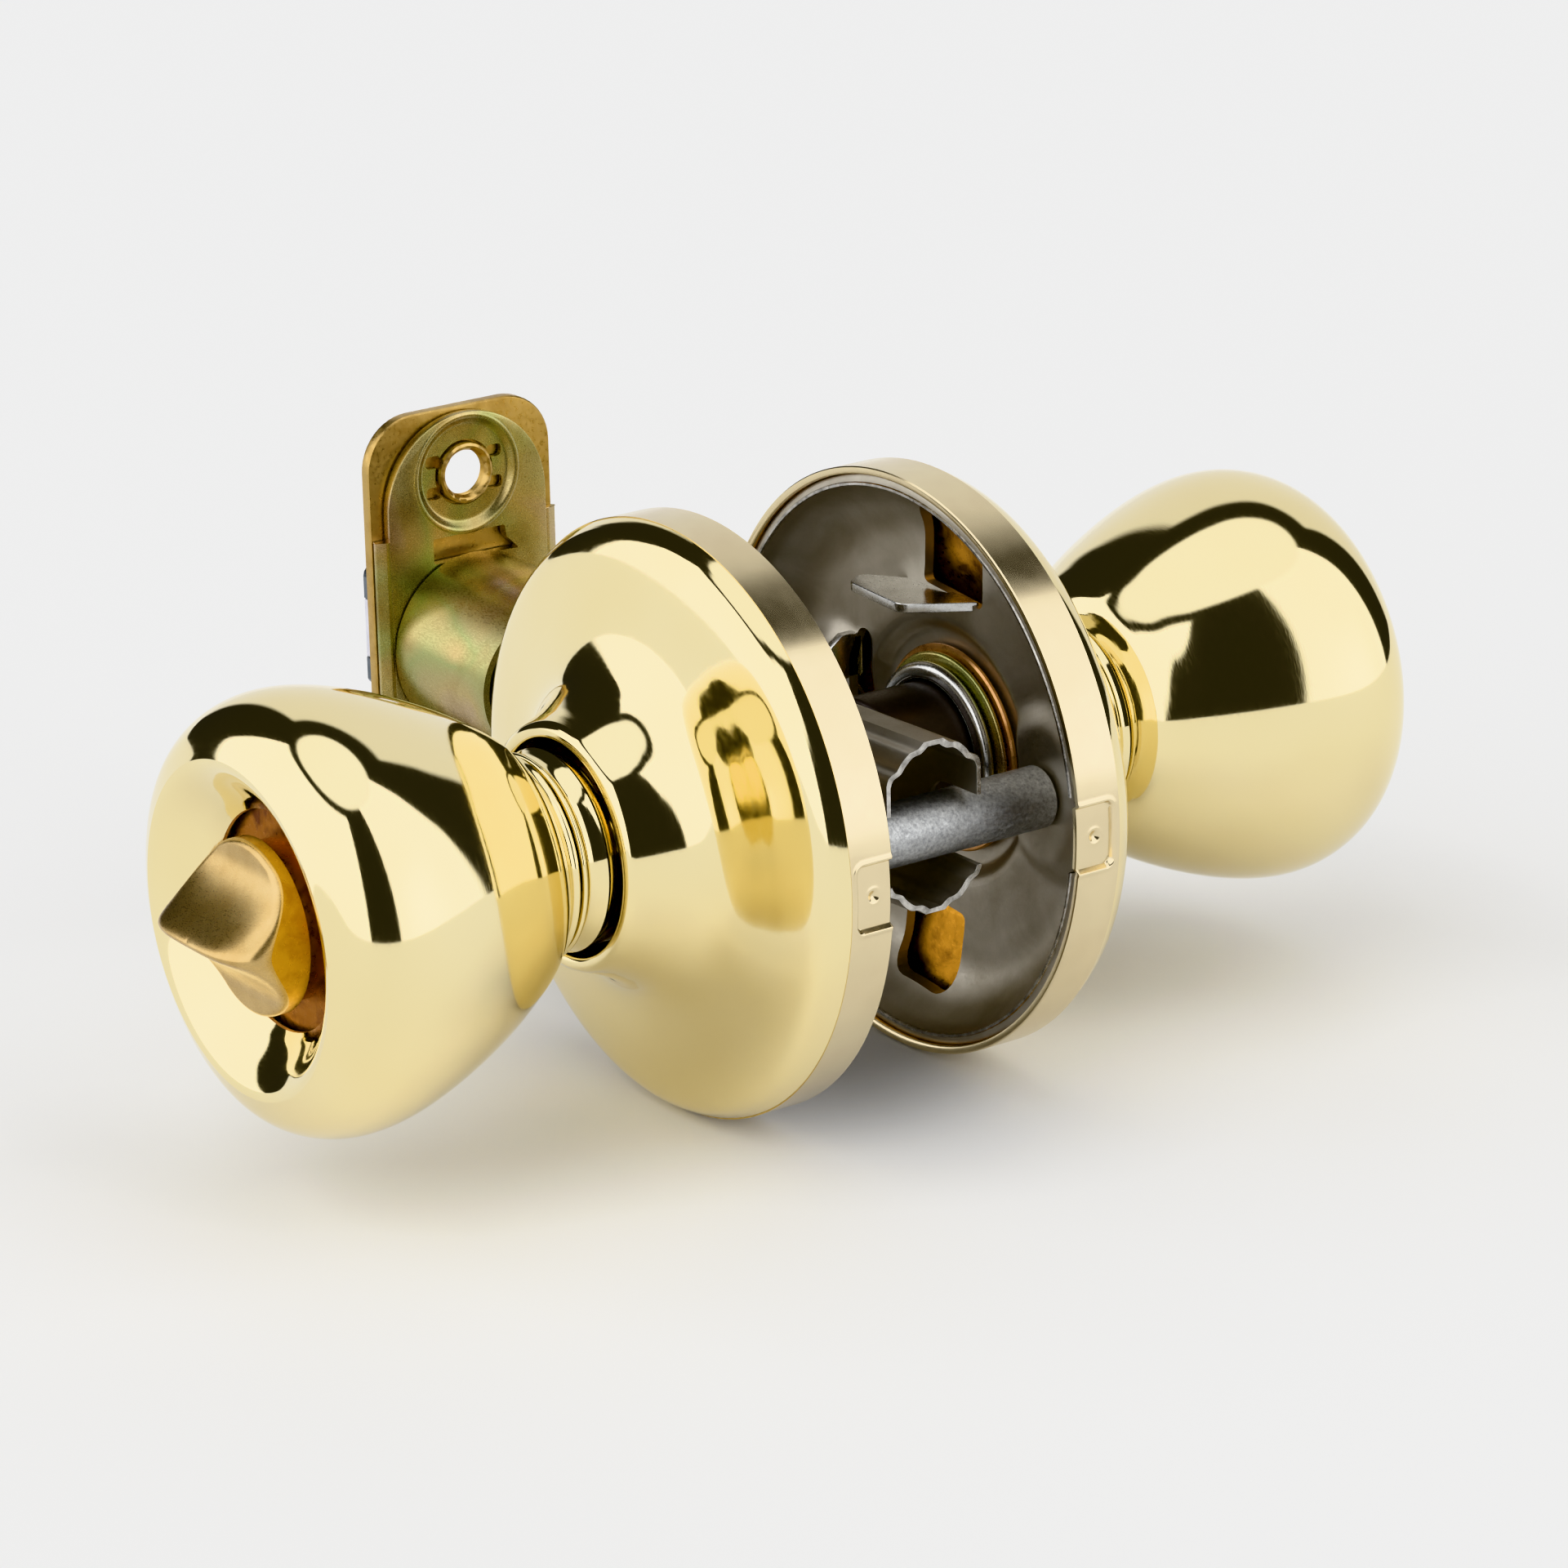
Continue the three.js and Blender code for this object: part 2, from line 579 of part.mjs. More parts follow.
function turnButton() {
  let body = lathe([
    [0, STEM_START], [STEM_RADIUS, STEM_START], [STEM_RADIUS, BUTTON_BACK], [BUTTON_FLANGE, BUTTON_BACK],
    [BUTTON_FLANGE, FLANGE_TOP], [BUTTON_RADIUS, FLANGE_TOP], [BUTTON_RADIUS, BUTTON_SHOULDER],
    [BUTTON_TOP_RADIUS, BUTTON_TOP - BUTTON_BEVEL], [BUTTON_TOP_RADIUS - BUTTON_BEVEL, BUTTON_TOP],
    [0, BUTTON_TOP],
  ], SMALL);
  for (const sign of [1, -1]) {
    const reach = BUTTON_RADIUS + MARGIN;
    body = body.subtract(rodX(SCOOP_RADIUS, -reach, reach, SCOOP_Y, sign * SCOOP_Z, ROUND));
  }
  const slotWide = BAR_WIDE / 2 + GAP;
  const slotThick = BAR_THICK / 2 + GAP;
  body = body.subtract(box([-slotWide, STEM_START - MARGIN, -slotThick],
    [slotWide, GAP - BAR_START, slotThick]));
  return onSide(body, -1);
}

function lockBar() {
  return box([-BAR_WIDE / 2, BAR_START, -BAR_THICK / 2], [BAR_WIDE / 2, BAR_END, BAR_THICK / 2]);
}

function flatted(radius, flat, start, end) {
  return rodY(radius, start, end, 0, 0, TINY)
    .intersect(box([-radius - MARGIN, start, -flat], [radius + MARGIN, end, flat]));
}

function spindle() {
  return flatted(SPINDLE_RADIUS, SPINDLE_FLAT, SPINDLE_START, SPINDLE_END)
    .subtract(rodY(SPINDLE_BORE, SPINDLE_START - MARGIN, SPINDLE_END + MARGIN, 0, 0, TINY));
}

// ---- latch -----------------------------------------------------------------------------------
function boltSection(grow, start, end) {
  const wide = BOLT_HALF_WIDE + grow;
  const high = BOLT_HALF_HIGH + grow;
  return rodX(BOLT_ROUND + grow, start, end, 0, 0, ROUND)
    .intersect(box([start - MARGIN, -wide, -high], [end + MARGIN, wide, high]));
}

function latchFaceplate() {
  const inner = FACE_X + FACE_THICK;
  const end = inner + SCREW_COLLAR_LONG;
  let body = prismOf(roundedShape(FACE_WIDE, FACE_HIGH, FACE_CORNER), FACE_X, inner);
  for (const z of [FACE_HOLE_Z, -FACE_HOLE_Z]) {
    body = body.add(rodX(SCREW_COLLAR, FACE_X + FACE_THICK / 2, end, 0, z, TINY));
    body = body.subtract(rodX(COLLAR_HOLE, FACE_X - MARGIN, end + MARGIN, 0, z, TINY));
    body = body.subtract(rodX(SINK_RADIUS, FACE_X, inner, 0, z, TINY, COLLAR_HOLE));
  }
  return body.subtract(boltSection(HOLE_CLEAR, FACE_X - MARGIN, inner + MARGIN));
}

function backplateOutline() {
  const shape = new THREE.Shape();
  const w = BACK_WIDE / 2;
  const reach = BACK_ARCH_Z;
  shape.moveTo(w, -BACK_SHOULDER);
  shape.lineTo(w, BACK_SHOULDER);
  shape.lineTo(BACK_ARCH, BACK_SHOULDER);
  shape.lineTo(BACK_ARCH, reach);
  shape.absarc(0, reach, BACK_ARCH, 0, Math.PI);
  shape.lineTo(-BACK_ARCH, BACK_SHOULDER);
  shape.lineTo(-w, BACK_SHOULDER);
  shape.lineTo(-w, -BACK_SHOULDER);
  shape.lineTo(-BACK_ARCH, -BACK_SHOULDER);
  shape.lineTo(-BACK_ARCH, -reach);
  shape.absarc(0, -reach, BACK_ARCH, Math.PI, Math.PI * 2);
  shape.lineTo(BACK_ARCH, -BACK_SHOULDER);
  return shape;
}

function latchBackplate() {
  const near = FACE_X + FACE_THICK + GAP;
  const far = near + BACK_THICK;
  const top = far + DISH_RISE;
  const cut = (halfWide, halfHigh, z) =>
    box([near - MARGIN, -halfWide, z - halfHigh], [far + MARGIN, halfWide, z + halfHigh]);
  let body = prismOf(backplateOutline(), near, far, 8);
  for (const sign of [1, -1]) {
    const z = sign * FACE_HOLE_Z;
    const ring = rodX(DISH_OUTER, far - BACK_THICK / 2, top, 0, z, TINY)
      .subtract(rodX(DISH_INNER, near, top + MARGIN, 0, z, TINY));
    body = body.add(ring).subtract(rodX(BACK_HOLE, near - MARGIN, far + MARGIN, 0, z, TINY));
    body = body.subtract(cut(BACK_NOTCH, BACK_NOTCH_WIDE / 2, z));
    body = body.subtract(cut(BACK_NOTCH_WIDE / 2, BACK_NOTCH, z));
    body = body.subtract(cut(BACK_SLOT_WIDE / 2, BACK_SLOT_HIGH / 2, sign * BACK_SLOT_Z));
  }
  return body.subtract(boltSection(HOLE_CLEAR, near - MARGIN, far + MARGIN));
}

function latchTube() {
  const start = FACE_X + FACE_THICK + BACK_THICK + 2 * GAP;
  let body = rodX(LATCH_TUBE_RADIUS, start, LATCH_TUBE_END, 0, 0, ROUND);
  const reach = LATCH_TUBE_RADIUS + MARGIN;
  const middle = LATCH_TUBE_END + LIP_RADIUS - LIP_DEEP;
  body = body.subtract(rodX(LATCH_TUBE_BORE, start - MARGIN, LATCH_TUBE_END + MARGIN, 0, 0, ROUND));
  for (const [low, high] of [[LIP_START, reach], [-reach, -LIP_START]]) {
    body = body.subtract(rodY(LIP_RADIUS, low, high, middle, 0, ROUND));
  }
  return body;
}

function caseOutline(shrink) {
  const quarter = CASE_QUARTER.map(([y, z]) => [y - shrink, z - shrink * (z / CASE_QUARTER[0][1])]);
  const right = quarter.slice().reverse();
  const upperLeft = quarter.map(([y, z]) => [-y, z]);
  const lowerLeft = right.map(([y, z]) => [-y, -z]);
  const lowerRight = quarter.map(([y, z]) => [y, -z]);
  return [...right, ...upperLeft, ...lowerLeft, ...lowerRight];
}

function latchCase() {
  const reach = FACE_WIDE / 2;
  let body = prismX(caseOutline(0), CASE_START, CASE_END);
  body = body.subtract(prismX(caseOutline(CASE_SHEET), CASE_START - MARGIN, CASE_END + MARGIN));
  body = body.subtract(box([CASE_NOTCH_X, -reach, -CASE_NOTCH_HALF],
    [CASE_END + MARGIN, reach, CASE_NOTCH_HALF]));
  body = body.subtract(rodY(CASE_POST_HOLE, -reach, reach, -POST_X, 0, TINY));
  return body.subtract(rodY(CASE_HUB_HOLE, -reach, reach, 0, 0, SMALL));
}

// the bevelled bolt seen from above, between two heights
function boltPlan(low, high) {
  const outer = BOLT_HALF_WIDE + MARGIN;
  const shape = new THREE.Shape([
    [-outer, BOLT_TIP + BOLT_CORNER], [BOLT_CORNER - BOLT_HALF_WIDE, BOLT_TIP], [BOLT_NOSE_Y, BOLT_TIP],
    BOLT_BEVEL_BULGE, [outer, BOLT_BEVEL_X], [outer, BOLT_BACK], [-outer, BOLT_BACK],
  ].map(([y, x]) => new THREE.Vector2(x, y)));
  const geometry = new THREE.ExtrudeGeometry(shape, { depth: high - low, bevelEnabled: false });
  geometry.translate(0, 0, low);
  return solid(geometry).intersect(boltSection(0, BOLT_TIP - MARGIN, BOLT_BACK + MARGIN));
}

function latchBolt() {
  const high = BOLT_HALF_HIGH + MARGIN;
  const wide = BOLT_HALF_WIDE + MARGIN;
  const slot = INSERT_HALF + GAP;
  return boltPlan(-high, high)
    .subtract(box([BOLT_TIP - MARGIN, -wide, -slot], [INSERT_BACK + GAP, wide, slot]));
}

function boltInsert() {
  const wide = BOLT_HALF_WIDE + MARGIN;
  return boltPlan(-INSERT_HALF, INSERT_HALF)
    .subtract(box([INSERT_BACK, -wide, -wide], [BOLT_BACK + MARGIN, wide, wide]));
}

function boltTailpiece() {
  let body = box([TAIL_FRONT, -TAIL_HALF, -TAIL_BAR_HIGH], [TAIL_BACK, TAIL_HALF, TAIL_BAR_HIGH]);
  for (const [low, high] of [[TAIL_BAR_LOW, TAIL_BAR_HIGH], [-TAIL_BAR_HIGH, -TAIL_BAR_LOW]]) {
    body = body.add(box([TAIL_FRONT, -TAIL_HALF, low], [TAIL_END, TAIL_HALF, high]));
    body = body.subtract(box([TAIL_SLOT_START, -TAIL_SLOT_HALF, low - MARGIN],
      [TAIL_LUG, TAIL_SLOT_HALF, high + MARGIN]));
  }
  return body;
}

function latchCam() {
  let body = rodY(CAM_RADIUS, -CAM_HALF, CAM_HALF, 0, 0, SMALL);
  for (const turn of [-CAM_LEAN, 180 + CAM_LEAN]) {
    const arm = box([-CAM_ARM_WIDE / 2, -CAM_ARM_HALF, 0],
      [CAM_ARM_WIDE / 2, CAM_ARM_HALF, CAM_ARM_REACH]);
    body = body.add(arm.rotate([0, turn, 0]));
  }
  const reach = CAM_HALF + MARGIN;
  return body.subtract(flatted(SPINDLE_RADIUS + GAP, SPINDLE_FLAT + GAP, -reach, reach));
}

function springSeat() {
  return box([SEAT_FRONT, -SEAT_HALF_WIDE, -SEAT_HALF_HIGH],
    [SEAT_BACK, SEAT_HALF_WIDE, SEAT_HALF_HIGH]);
}

function latchSpring() {
  const start = TAIL_BACK + LATCH_COIL_WIRE + GAP;
  const end = SEAT_FRONT - LATCH_COIL_WIRE - GAP;
  const geometry = coil(LATCH_COIL_RADIUS, LATCH_COIL_WIRE, start, end, LATCH_COIL_TURNS);
  geometry.rotateZ(-Math.PI / 2);
  return solid(geometry);
}

// ---- assembly --------------------------------------------------------------------------------
const assembly = new THREE.Group();
assembly.name = 'door_knob';

function place(name, material, body) {
  const mesh = new THREE.Mesh(geometryOf(body), material());
  mesh.name = name;
  assembly.add(mesh);
}

for (const [half, side] of [['exterior', 1], ['interior', -1]]) {
  place(`${half}_rose`, polishedBrass, rose(side));
  place(`${half}_mounting_plate`, greySteel, mountingPlate(side));
  place(`${half}_hub_bush`, dichromate, hubBush(side));
  place(`${half}_thrust_washer`, copper, thrustWasher(side));
  place(`${half}_retaining_ring`, brightSteel, retainingRing(side));
  place(`${half}_return_spring`, brightSteel, returnSpring(side));
  place(`${half}_drive_tube`, darkSteel, driveTube(side));
  place(`${half}_knob_neck`, polishedBrass, knobNeck(side));
  place(`${half}_knob_core`, greySteel, knobCore(side));
  place(`${half}_knob_shell`, polishedBrass, knobShell(side));
}
for (const [which, x] of [['near', POST_X], ['far', -POST_X]]) {
  place(`post_${which}`, castSteel, post(x));
  place(`mounting_screw_${which}`, brightSteel, mountingScrew(x));
}
place('interior_knob_insert', greySteel, knobInsert());
place('turn_button', satinBrass, turnButton());
place('lock_bar', greySteel, lockBar());
place('spindle', darkSteel, spindle());
place('latch_faceplate', lacquerBrass, latchFaceplate());
place('latch_backplate', dichromate, latchBackplate());
place('latch_tube', dichromate, latchTube());
place('latch_case', greySteel, latchCase());
place('latch_bolt', castSteel, latchBolt());
place('bolt_insert', greyNylon, boltInsert());
place('bolt_tailpiece', greySteel, boltTailpiece());
place('latch_cam', dichromate, latchCam());
place('spring_seat', greySteel, springSeat());
place('latch_spring', brightSteel, latchSpring());

export default assembly;
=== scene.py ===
"""Looks of a tubular privacy door knob set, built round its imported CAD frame.

Y is the knob axis (interior knob and turn button at -Y), X the latch axis (bolt at -X), +Z up.
Shapes are drawn in millimetres, and piece() turns them into the frame's metres.
"""
import math

import bmesh
import bpy
from mathutils import Matrix, Vector, noise

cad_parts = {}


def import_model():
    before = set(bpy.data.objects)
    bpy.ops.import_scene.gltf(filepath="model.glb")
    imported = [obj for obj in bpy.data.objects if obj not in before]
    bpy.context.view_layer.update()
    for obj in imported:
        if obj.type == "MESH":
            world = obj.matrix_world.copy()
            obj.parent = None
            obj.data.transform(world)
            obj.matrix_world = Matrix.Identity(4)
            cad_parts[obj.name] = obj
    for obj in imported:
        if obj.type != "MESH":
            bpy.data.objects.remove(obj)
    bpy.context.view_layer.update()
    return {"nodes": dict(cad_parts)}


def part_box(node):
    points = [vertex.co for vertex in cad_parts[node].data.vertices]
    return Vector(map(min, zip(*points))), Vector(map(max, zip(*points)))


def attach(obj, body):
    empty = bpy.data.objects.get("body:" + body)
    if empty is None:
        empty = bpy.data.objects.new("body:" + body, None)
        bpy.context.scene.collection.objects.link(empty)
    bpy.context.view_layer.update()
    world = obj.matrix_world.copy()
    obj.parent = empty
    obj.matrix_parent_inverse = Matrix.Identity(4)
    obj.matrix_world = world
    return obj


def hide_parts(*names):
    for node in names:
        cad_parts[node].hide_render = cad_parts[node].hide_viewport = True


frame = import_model()

MM = 0.001

# ---- camera -----------------------------------------------------------------------------------
CAMERA_AZIMUTH = 54.672  # degrees, as the elevation and the roll
CAMERA_ELEVATION = 19.363
CAMERA_ROLL = -1.178
CAMERA_PLACE = (0.486006, -0.346997, 0.210065)  # metres
LENS = 132.12  # millimetres, for the sensor width below
SENSOR = 36.0


def make_camera():
    data = bpy.data.cameras.new("camera")
    data.lens = LENS
    data.sensor_width = SENSOR
    data.clip_start = 0.01
    data.clip_end = 20.0
    camera = bpy.data.objects.new("camera", data)
    a, e = math.radians(CAMERA_AZIMUTH), math.radians(CAMERA_ELEVATION)
    back = Vector((math.sin(a) * math.cos(e), -math.cos(a) * math.cos(e), math.sin(e)))
    right = Vector((math.cos(a), math.sin(a), 0.0))
    turn = Matrix.Rotation(math.radians(CAMERA_ROLL), 3, back)
    right = turn @ right
    up = back.cross(right)
    basis = Matrix((right, up, back)).transposed().to_4x4()
    camera.matrix_world = Matrix.Translation(CAMERA_PLACE) @ basis
    bpy.context.scene.collection.objects.link(camera)
    bpy.context.scene.camera = camera


# ---- node helpers -----------------------------------------------------------------------------
MIX_FACTOR, MIX_UNDER, MIX_OVER = 0, 6, 7  # a Mix node's inputs when it mixes colours
MIX_RESULT = 2


class Nodes:
    """A material under construction: add nodes, join sockets, set the shader's own values."""

    def __init__(self, name, **shader):
        self.material = bpy.data.materials.new(name)
        self.material.use_nodes = True
        self.tree = self.material.node_tree
        self.shader = self.tree.nodes["Principled BSDF"]
        for key, value in shader.items():
            self.shader.inputs[key.replace("_", " ")].default_value = value
        self.place = self.add("ShaderNodeTexCoord").outputs["Object"]

    def add(self, kind, **fields):
        node = self.tree.nodes.new(kind)
        for key, value in fields.items():
            setattr(node, key, value)
        return node

    def join(self, source, target):
        self.tree.links.new(source, target)

    def stretched(self, scale):
        """The object's coordinates with each axis scaled by its own number."""
        mapping = self.add("ShaderNodeMapping")
        mapping.inputs["Scale"].default_value = scale
        self.join(self.place, mapping.inputs["Vector"])
        return mapping.outputs["Vector"]

    def noise(self, size, detail=3.0, roughness=0.55, stretch=None, distortion=0.0):
        """Soft noise from 0 to 1 with blotches about as large as a size."""
        node = self.add("ShaderNodeTexNoise")
        node.inputs["Scale"].default_value = 1.0 / size
        node.inputs["Detail"].default_value = detail
        node.inputs["Roughness"].default_value = roughness
        node.inputs["Distortion"].default_value = distortion
        self.join(self.stretched(stretch) if stretch else self.place, node.inputs["Vector"])
        return node.outputs["Fac"]

    def ramp(self, source, stops):
        """A colour or grey from a number, linear between stops of (position, colour or grey)."""
        node = self.add("ShaderNodeValToRGB")
        elements = node.color_ramp.elements
        while len(elements) < len(stops):
            elements.new(0.5)
        for element, (position, colour) in zip(elements, stops):
            element.position = position
            if not hasattr(colour, "__len__"):
                colour = (colour, colour, colour)
            element.color = (*colour, 1.0)
        self.join(source, node.inputs["Fac"])
        return node.outputs["Color"]

    def mix(self, factor, under, over):
        """A plain colour laid over a coloured socket, as strongly as the factor says."""
        node = self.add("ShaderNodeMix", data_type="RGBA")
        self.join(factor, node.inputs[MIX_FACTOR])
        self.join(under, node.inputs[MIX_UNDER])
        node.inputs[MIX_OVER].default_value = (*over, 1.0)
        return node.outputs[MIX_RESULT]

    def bump(self, source, height, strength):
        node = self.add("ShaderNodeBump")
        node.inputs["Strength"].default_value = strength
        node.inputs["Distance"].default_value = height
        self.join(source, node.inputs["Height"])
        return node.outputs["Normal"]

    def colour(self, source):
        self.join(source, self.shader.inputs["Base Color"])

    def roughness(self, source):
        self.join(source, self.shader.inputs["Roughness"])

    def normal(self, source):
        self.join(source, self.shader.inputs["Normal"])


def polished_brass():
    """Bright lacquered brass: pale gold, mirror smooth, with faint buffing marks."""
    m = Nodes("polished_brass", Metallic=1.0, Coat_Weight=0.25, Coat_Roughness=0.03)
    tone = m.noise(22 * MM, detail=2.0)
    m.colour(m.ramp(tone, [(0.3, (0.875, 0.745, 0.41)), (0.7, (0.905, 0.785, 0.46))]))
    marks = m.noise(1.2 * MM, detail=4.0, stretch=(1.0, 9.0, 1.0))
    m.roughness(m.ramp(marks, [(0.35, 0.045), (0.75, 0.10)]))
    m.normal(m.bump(m.noise(0.8 * MM, detail=2.0, stretch=(1.0, 5.0, 1.0)), 0.004 * MM, 0.25))
    return m.material


def rim_brass():
    """The rims: a duller brass, buffed round rather than mirror polished."""
    m = Nodes("rim_brass", Metallic=1.0)
    tone = m.noise(9 * MM, detail=3.0)
    m.colour(m.ramp(tone, [(0.3, (0.70, 0.59, 0.38)), (0.7, (0.78, 0.67, 0.44))]))
    m.roughness(m.ramp(m.noise(5 * MM, detail=2.0), [(0.3, 0.17), (0.7, 0.22)]))
    m.normal(m.bump(m.noise(0.3 * MM, detail=2.0), 0.0006 * MM, 0.2))
    return m.material


def satin_brass():
    """The turn button: brushed brass under tinted lacquer."""
    m = Nodes("satin_brass", Metallic=1.0)
    tone = m.noise(4 * MM, detail=3.0)
    m.colour(m.ramp(tone, [(0.3, (0.49, 0.335, 0.14)), (0.7, (0.62, 0.45, 0.21))]))
    hair = m.noise(0.35 * MM, detail=5.0, stretch=(1.0, 1.0, 7.0))
    m.roughness(m.ramp(hair, [(0.3, 0.24), (0.75, 0.38)]))
    m.normal(m.bump(hair, 0.02 * MM, 0.5))
    return m.material


def aged_brass(name, light, dark, size):
    """Unpolished plated brass with dark mottling."""
    m = Nodes(name, Metallic=1.0)
    patches = m.noise(size, detail=5.0, roughness=0.62, distortion=0.4)
    m.colour(m.ramp(patches, [(0.34, dark), (0.52, light), (0.8, light)]))
    m.roughness(m.ramp(m.noise(0.6 * MM), [(0.3, 0.24), (0.7, 0.42)]))
    m.normal(m.bump(m.noise(0.35 * MM), 0.015 * MM, 0.5))
    return m.material


def dichromate():
    """Yellow dichromate over zinc: olive gold with green and pink drifts and brown stains."""
    m = Nodes("dichromate_steel", Metallic=1.0)
    drift = m.noise(13 * MM, detail=1.5, distortion=0.5)
    film = m.ramp(drift, [
        (0.30, (0.52, 0.38, 0.27)), (0.42, (0.50, 0.40, 0.19)), (0.52, (0.44, 0.39, 0.19)),
        (0.62, (0.36, 0.39, 0.17)), (0.74, (0.50, 0.39, 0.18)),
    ])
    grain = m.noise(0.5 * MM, detail=4.0, stretch=(1.0, 3.0, 3.0))
    stain = m.ramp(m.noise(8 * MM, detail=3.0), [(0.50, 0.0), (0.72, 0.65)])
    film = m.mix(stain, film, (0.24, 0.15, 0.045))
    m.colour(m.mix(m.ramp(grain, [(0.3, 0.0), (0.8, 0.30)]), film, (0.22, 0.16, 0.06)))
    m.roughness(m.ramp(grain, [(0.3, 0.22), (0.7, 0.36)]))
    m.normal(m.bump(grain, 0.012 * MM, 0.5))
    return m.material


def plain_steel(name, light, dark, smoothest, roughest, size=7.0):
    """Stamped or turned steel with a mill finish, its tone drifting over a size in mm."""
    m = Nodes(name, Metallic=1.0)
    tone = m.noise(size * MM, detail=3.0, distortion=0.5)
    m.colour(m.ramp(tone, [(0.32, dark), (0.68, light)]))
    fine = m.noise(0.3 * MM, detail=4.0)
    m.roughness(m.ramp(fine, [(0.3, smoothest), (0.7, roughest)]))
    m.normal(m.bump(fine, 0.01 * MM, 0.5))
    return m.material


def cast_steel():
    """The posts: rough grey steel with a granular skin."""
    m = Nodes("cast_steel", Metallic=1.0)
    grain = m.noise(0.45 * MM, detail=6.0, roughness=0.7)
    m.colour(m.ramp(grain, [(0.35, (0.30, 0.305, 0.31)), (0.7, (0.56, 0.57, 0.57))]))
    m.roughness(m.ramp(m.noise(0.3 * MM), [(0.3, 0.38), (0.7, 0.62)]))
    m.normal(m.bump(grain, 0.05 * MM, 0.6))
    return m.material


def grey_nylon():
    """The bolt's insert: smooth pale plastic."""
    m = Nodes("grey_nylon", Metallic=0.0)
    m.colour(m.ramp(m.noise(2 * MM), [(0.3, (0.50, 0.50, 0.56)), (0.7, (0.60, 0.60, 0.66))]))
    m.roughness(m.ramp(m.noise(0.4 * MM), [(0.3, 0.32), (0.7, 0.45)]))
    m.normal(m.bump(m.noise(0.25 * MM), 0.01 * MM, 0.4))
    return m.material


LOOKS = {
    "polished_brass": polished_brass(),
    "rim_brass": rim_brass(),
    "satin_brass": satin_brass(),
    "lacquered_brass": aged_brass(
        "lacquered_brass", (0.50, 0.345, 0.13), (0.34, 0.215, 0.07), 9 * MM),
    "rose_lining": aged_brass("rose_lining", (0.62, 0.30, 0.05), (0.12, 0.045, 0.01), 6 * MM),
    # painted shade: the turn button's lower wall and stem, down in the knob's well, get this dark
    # brown to stand for the shade there
    "button_well_painted_shade": aged_brass("button_well_painted_shade", (0.34, 0.13, 0.02), (0.14, 0.04, 0.01), 3 * MM),
    "button_side": aged_brass("button_side", (0.58, 0.33, 0.05), (0.44, 0.22, 0.03), 3 * MM),
    "dichromate_steel": dichromate(),
    "grey_steel": plain_steel(
        "grey_steel", (0.52, 0.485, 0.42), (0.40, 0.365, 0.30), 0.38, 0.50),
    "bright_steel": plain_steel(
        "bright_steel", (0.66, 0.66, 0.65), (0.48, 0.48, 0.46), 0.16, 0.30),
    "cut_edge": plain_steel("cut_edge", (0.60, 0.58, 0.54), (0.26, 0.25, 0.23), 0.16, 0.30, 1.3),
    "dark_steel": plain_steel(
        "dark_steel", (0.085, 0.075, 0.07), (0.045, 0.04, 0.038), 0.30, 0.48),
    "bolt_steel": plain_steel("bolt_steel", (0.20, 0.23, 0.26), (0.12, 0.14, 0.16), 0.26, 0.42),
    "cast_steel": cast_steel(),
    "copper": aged_brass("copper", (0.60, 0.34, 0.16), (0.36, 0.18, 0.07), 3 * MM),
    "grey_nylon": grey_nylon(),
}


# ---- mesh helpers -----------------------------------------------------------------------------
ROUND = 144  # facets round a turned piece
RING = 96  # and round a small one
SHARP = math.radians(32)  # shading is smooth up to this angle, unless a piece has its own
MERGE = 1e-4  # corners closer than this are one


def curve(points, steps=6):
    """A smooth line through the points, Catmull-Rom, with its ends included."""
    padded = [points[0], *points, points[-1]]
    line = []
    for i in range(len(points) - 1):
        p0, p1, p2, p3 = (Vector(p) for p in padded[i:i + 4])
        for k in range(steps):
            t = k / steps
            line.append(0.5 * ((2 * p1) + (p2 - p0) * t + (2 * p0 - 5 * p1 + 4 * p2 - p3) * t * t
                               + (3 * p1 - p0 - 3 * p2 + p3) * t * t * t))
    line.append(Vector(points[-1]))
    return [tuple(p) for p in line]


def ease(t):
    """A soft step from 0 to 1."""
    t = min(max(t, 0), 1)
    return t * t * (3 - 2 * t)


def arc(centre, radius, start, end, steps=6):
    """Points on a circular arc between two angles in degrees."""
    angles = [math.radians(start + (end - start) * k / steps) for k in range(steps + 1)]
    return [(centre[0] + radius * math.cos(a), centre[1] + radius * math.sin(a)) for a in angles]


def disc(centre, radius, count):
    """The corners of a regular polygon that stands for a full circle."""
    return arc(centre, radius, 0, 360 - 360 / count, count - 1)


def oblong(left, low, right, high):
    """The corners of a rectangle."""
    return [(left, low), (right, low), (right, high), (left, high)]


def piece(name, bm, look, body, replaces=(), sharp=SHARP):
    """Turns a bmesh in millimetres into a piece of the object that rides on a body."""
    bmesh.ops.remove_doubles(bm, verts=bm.verts, dist=MERGE)
    bmesh.ops.recalc_face_normals(bm, faces=bm.faces)
    bm.transform(Matrix.Scale(MM, 4))
    mesh = bpy.data.meshes.new(name)
    bm.to_mesh(mesh)
    bm.free()
    looks = [look] if isinstance(look, str) else look
    for each in looks:
        mesh.materials.append(LOOKS[each])
    mesh.shade_smooth()
    mesh.set_sharp_from_angle(angle=sharp)
    made = bpy.data.objects.new(name, mesh)
    bpy.context.scene.collection.objects.link(made)
    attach(made, body)
    if replaces:
        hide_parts(*replaces)
    return made


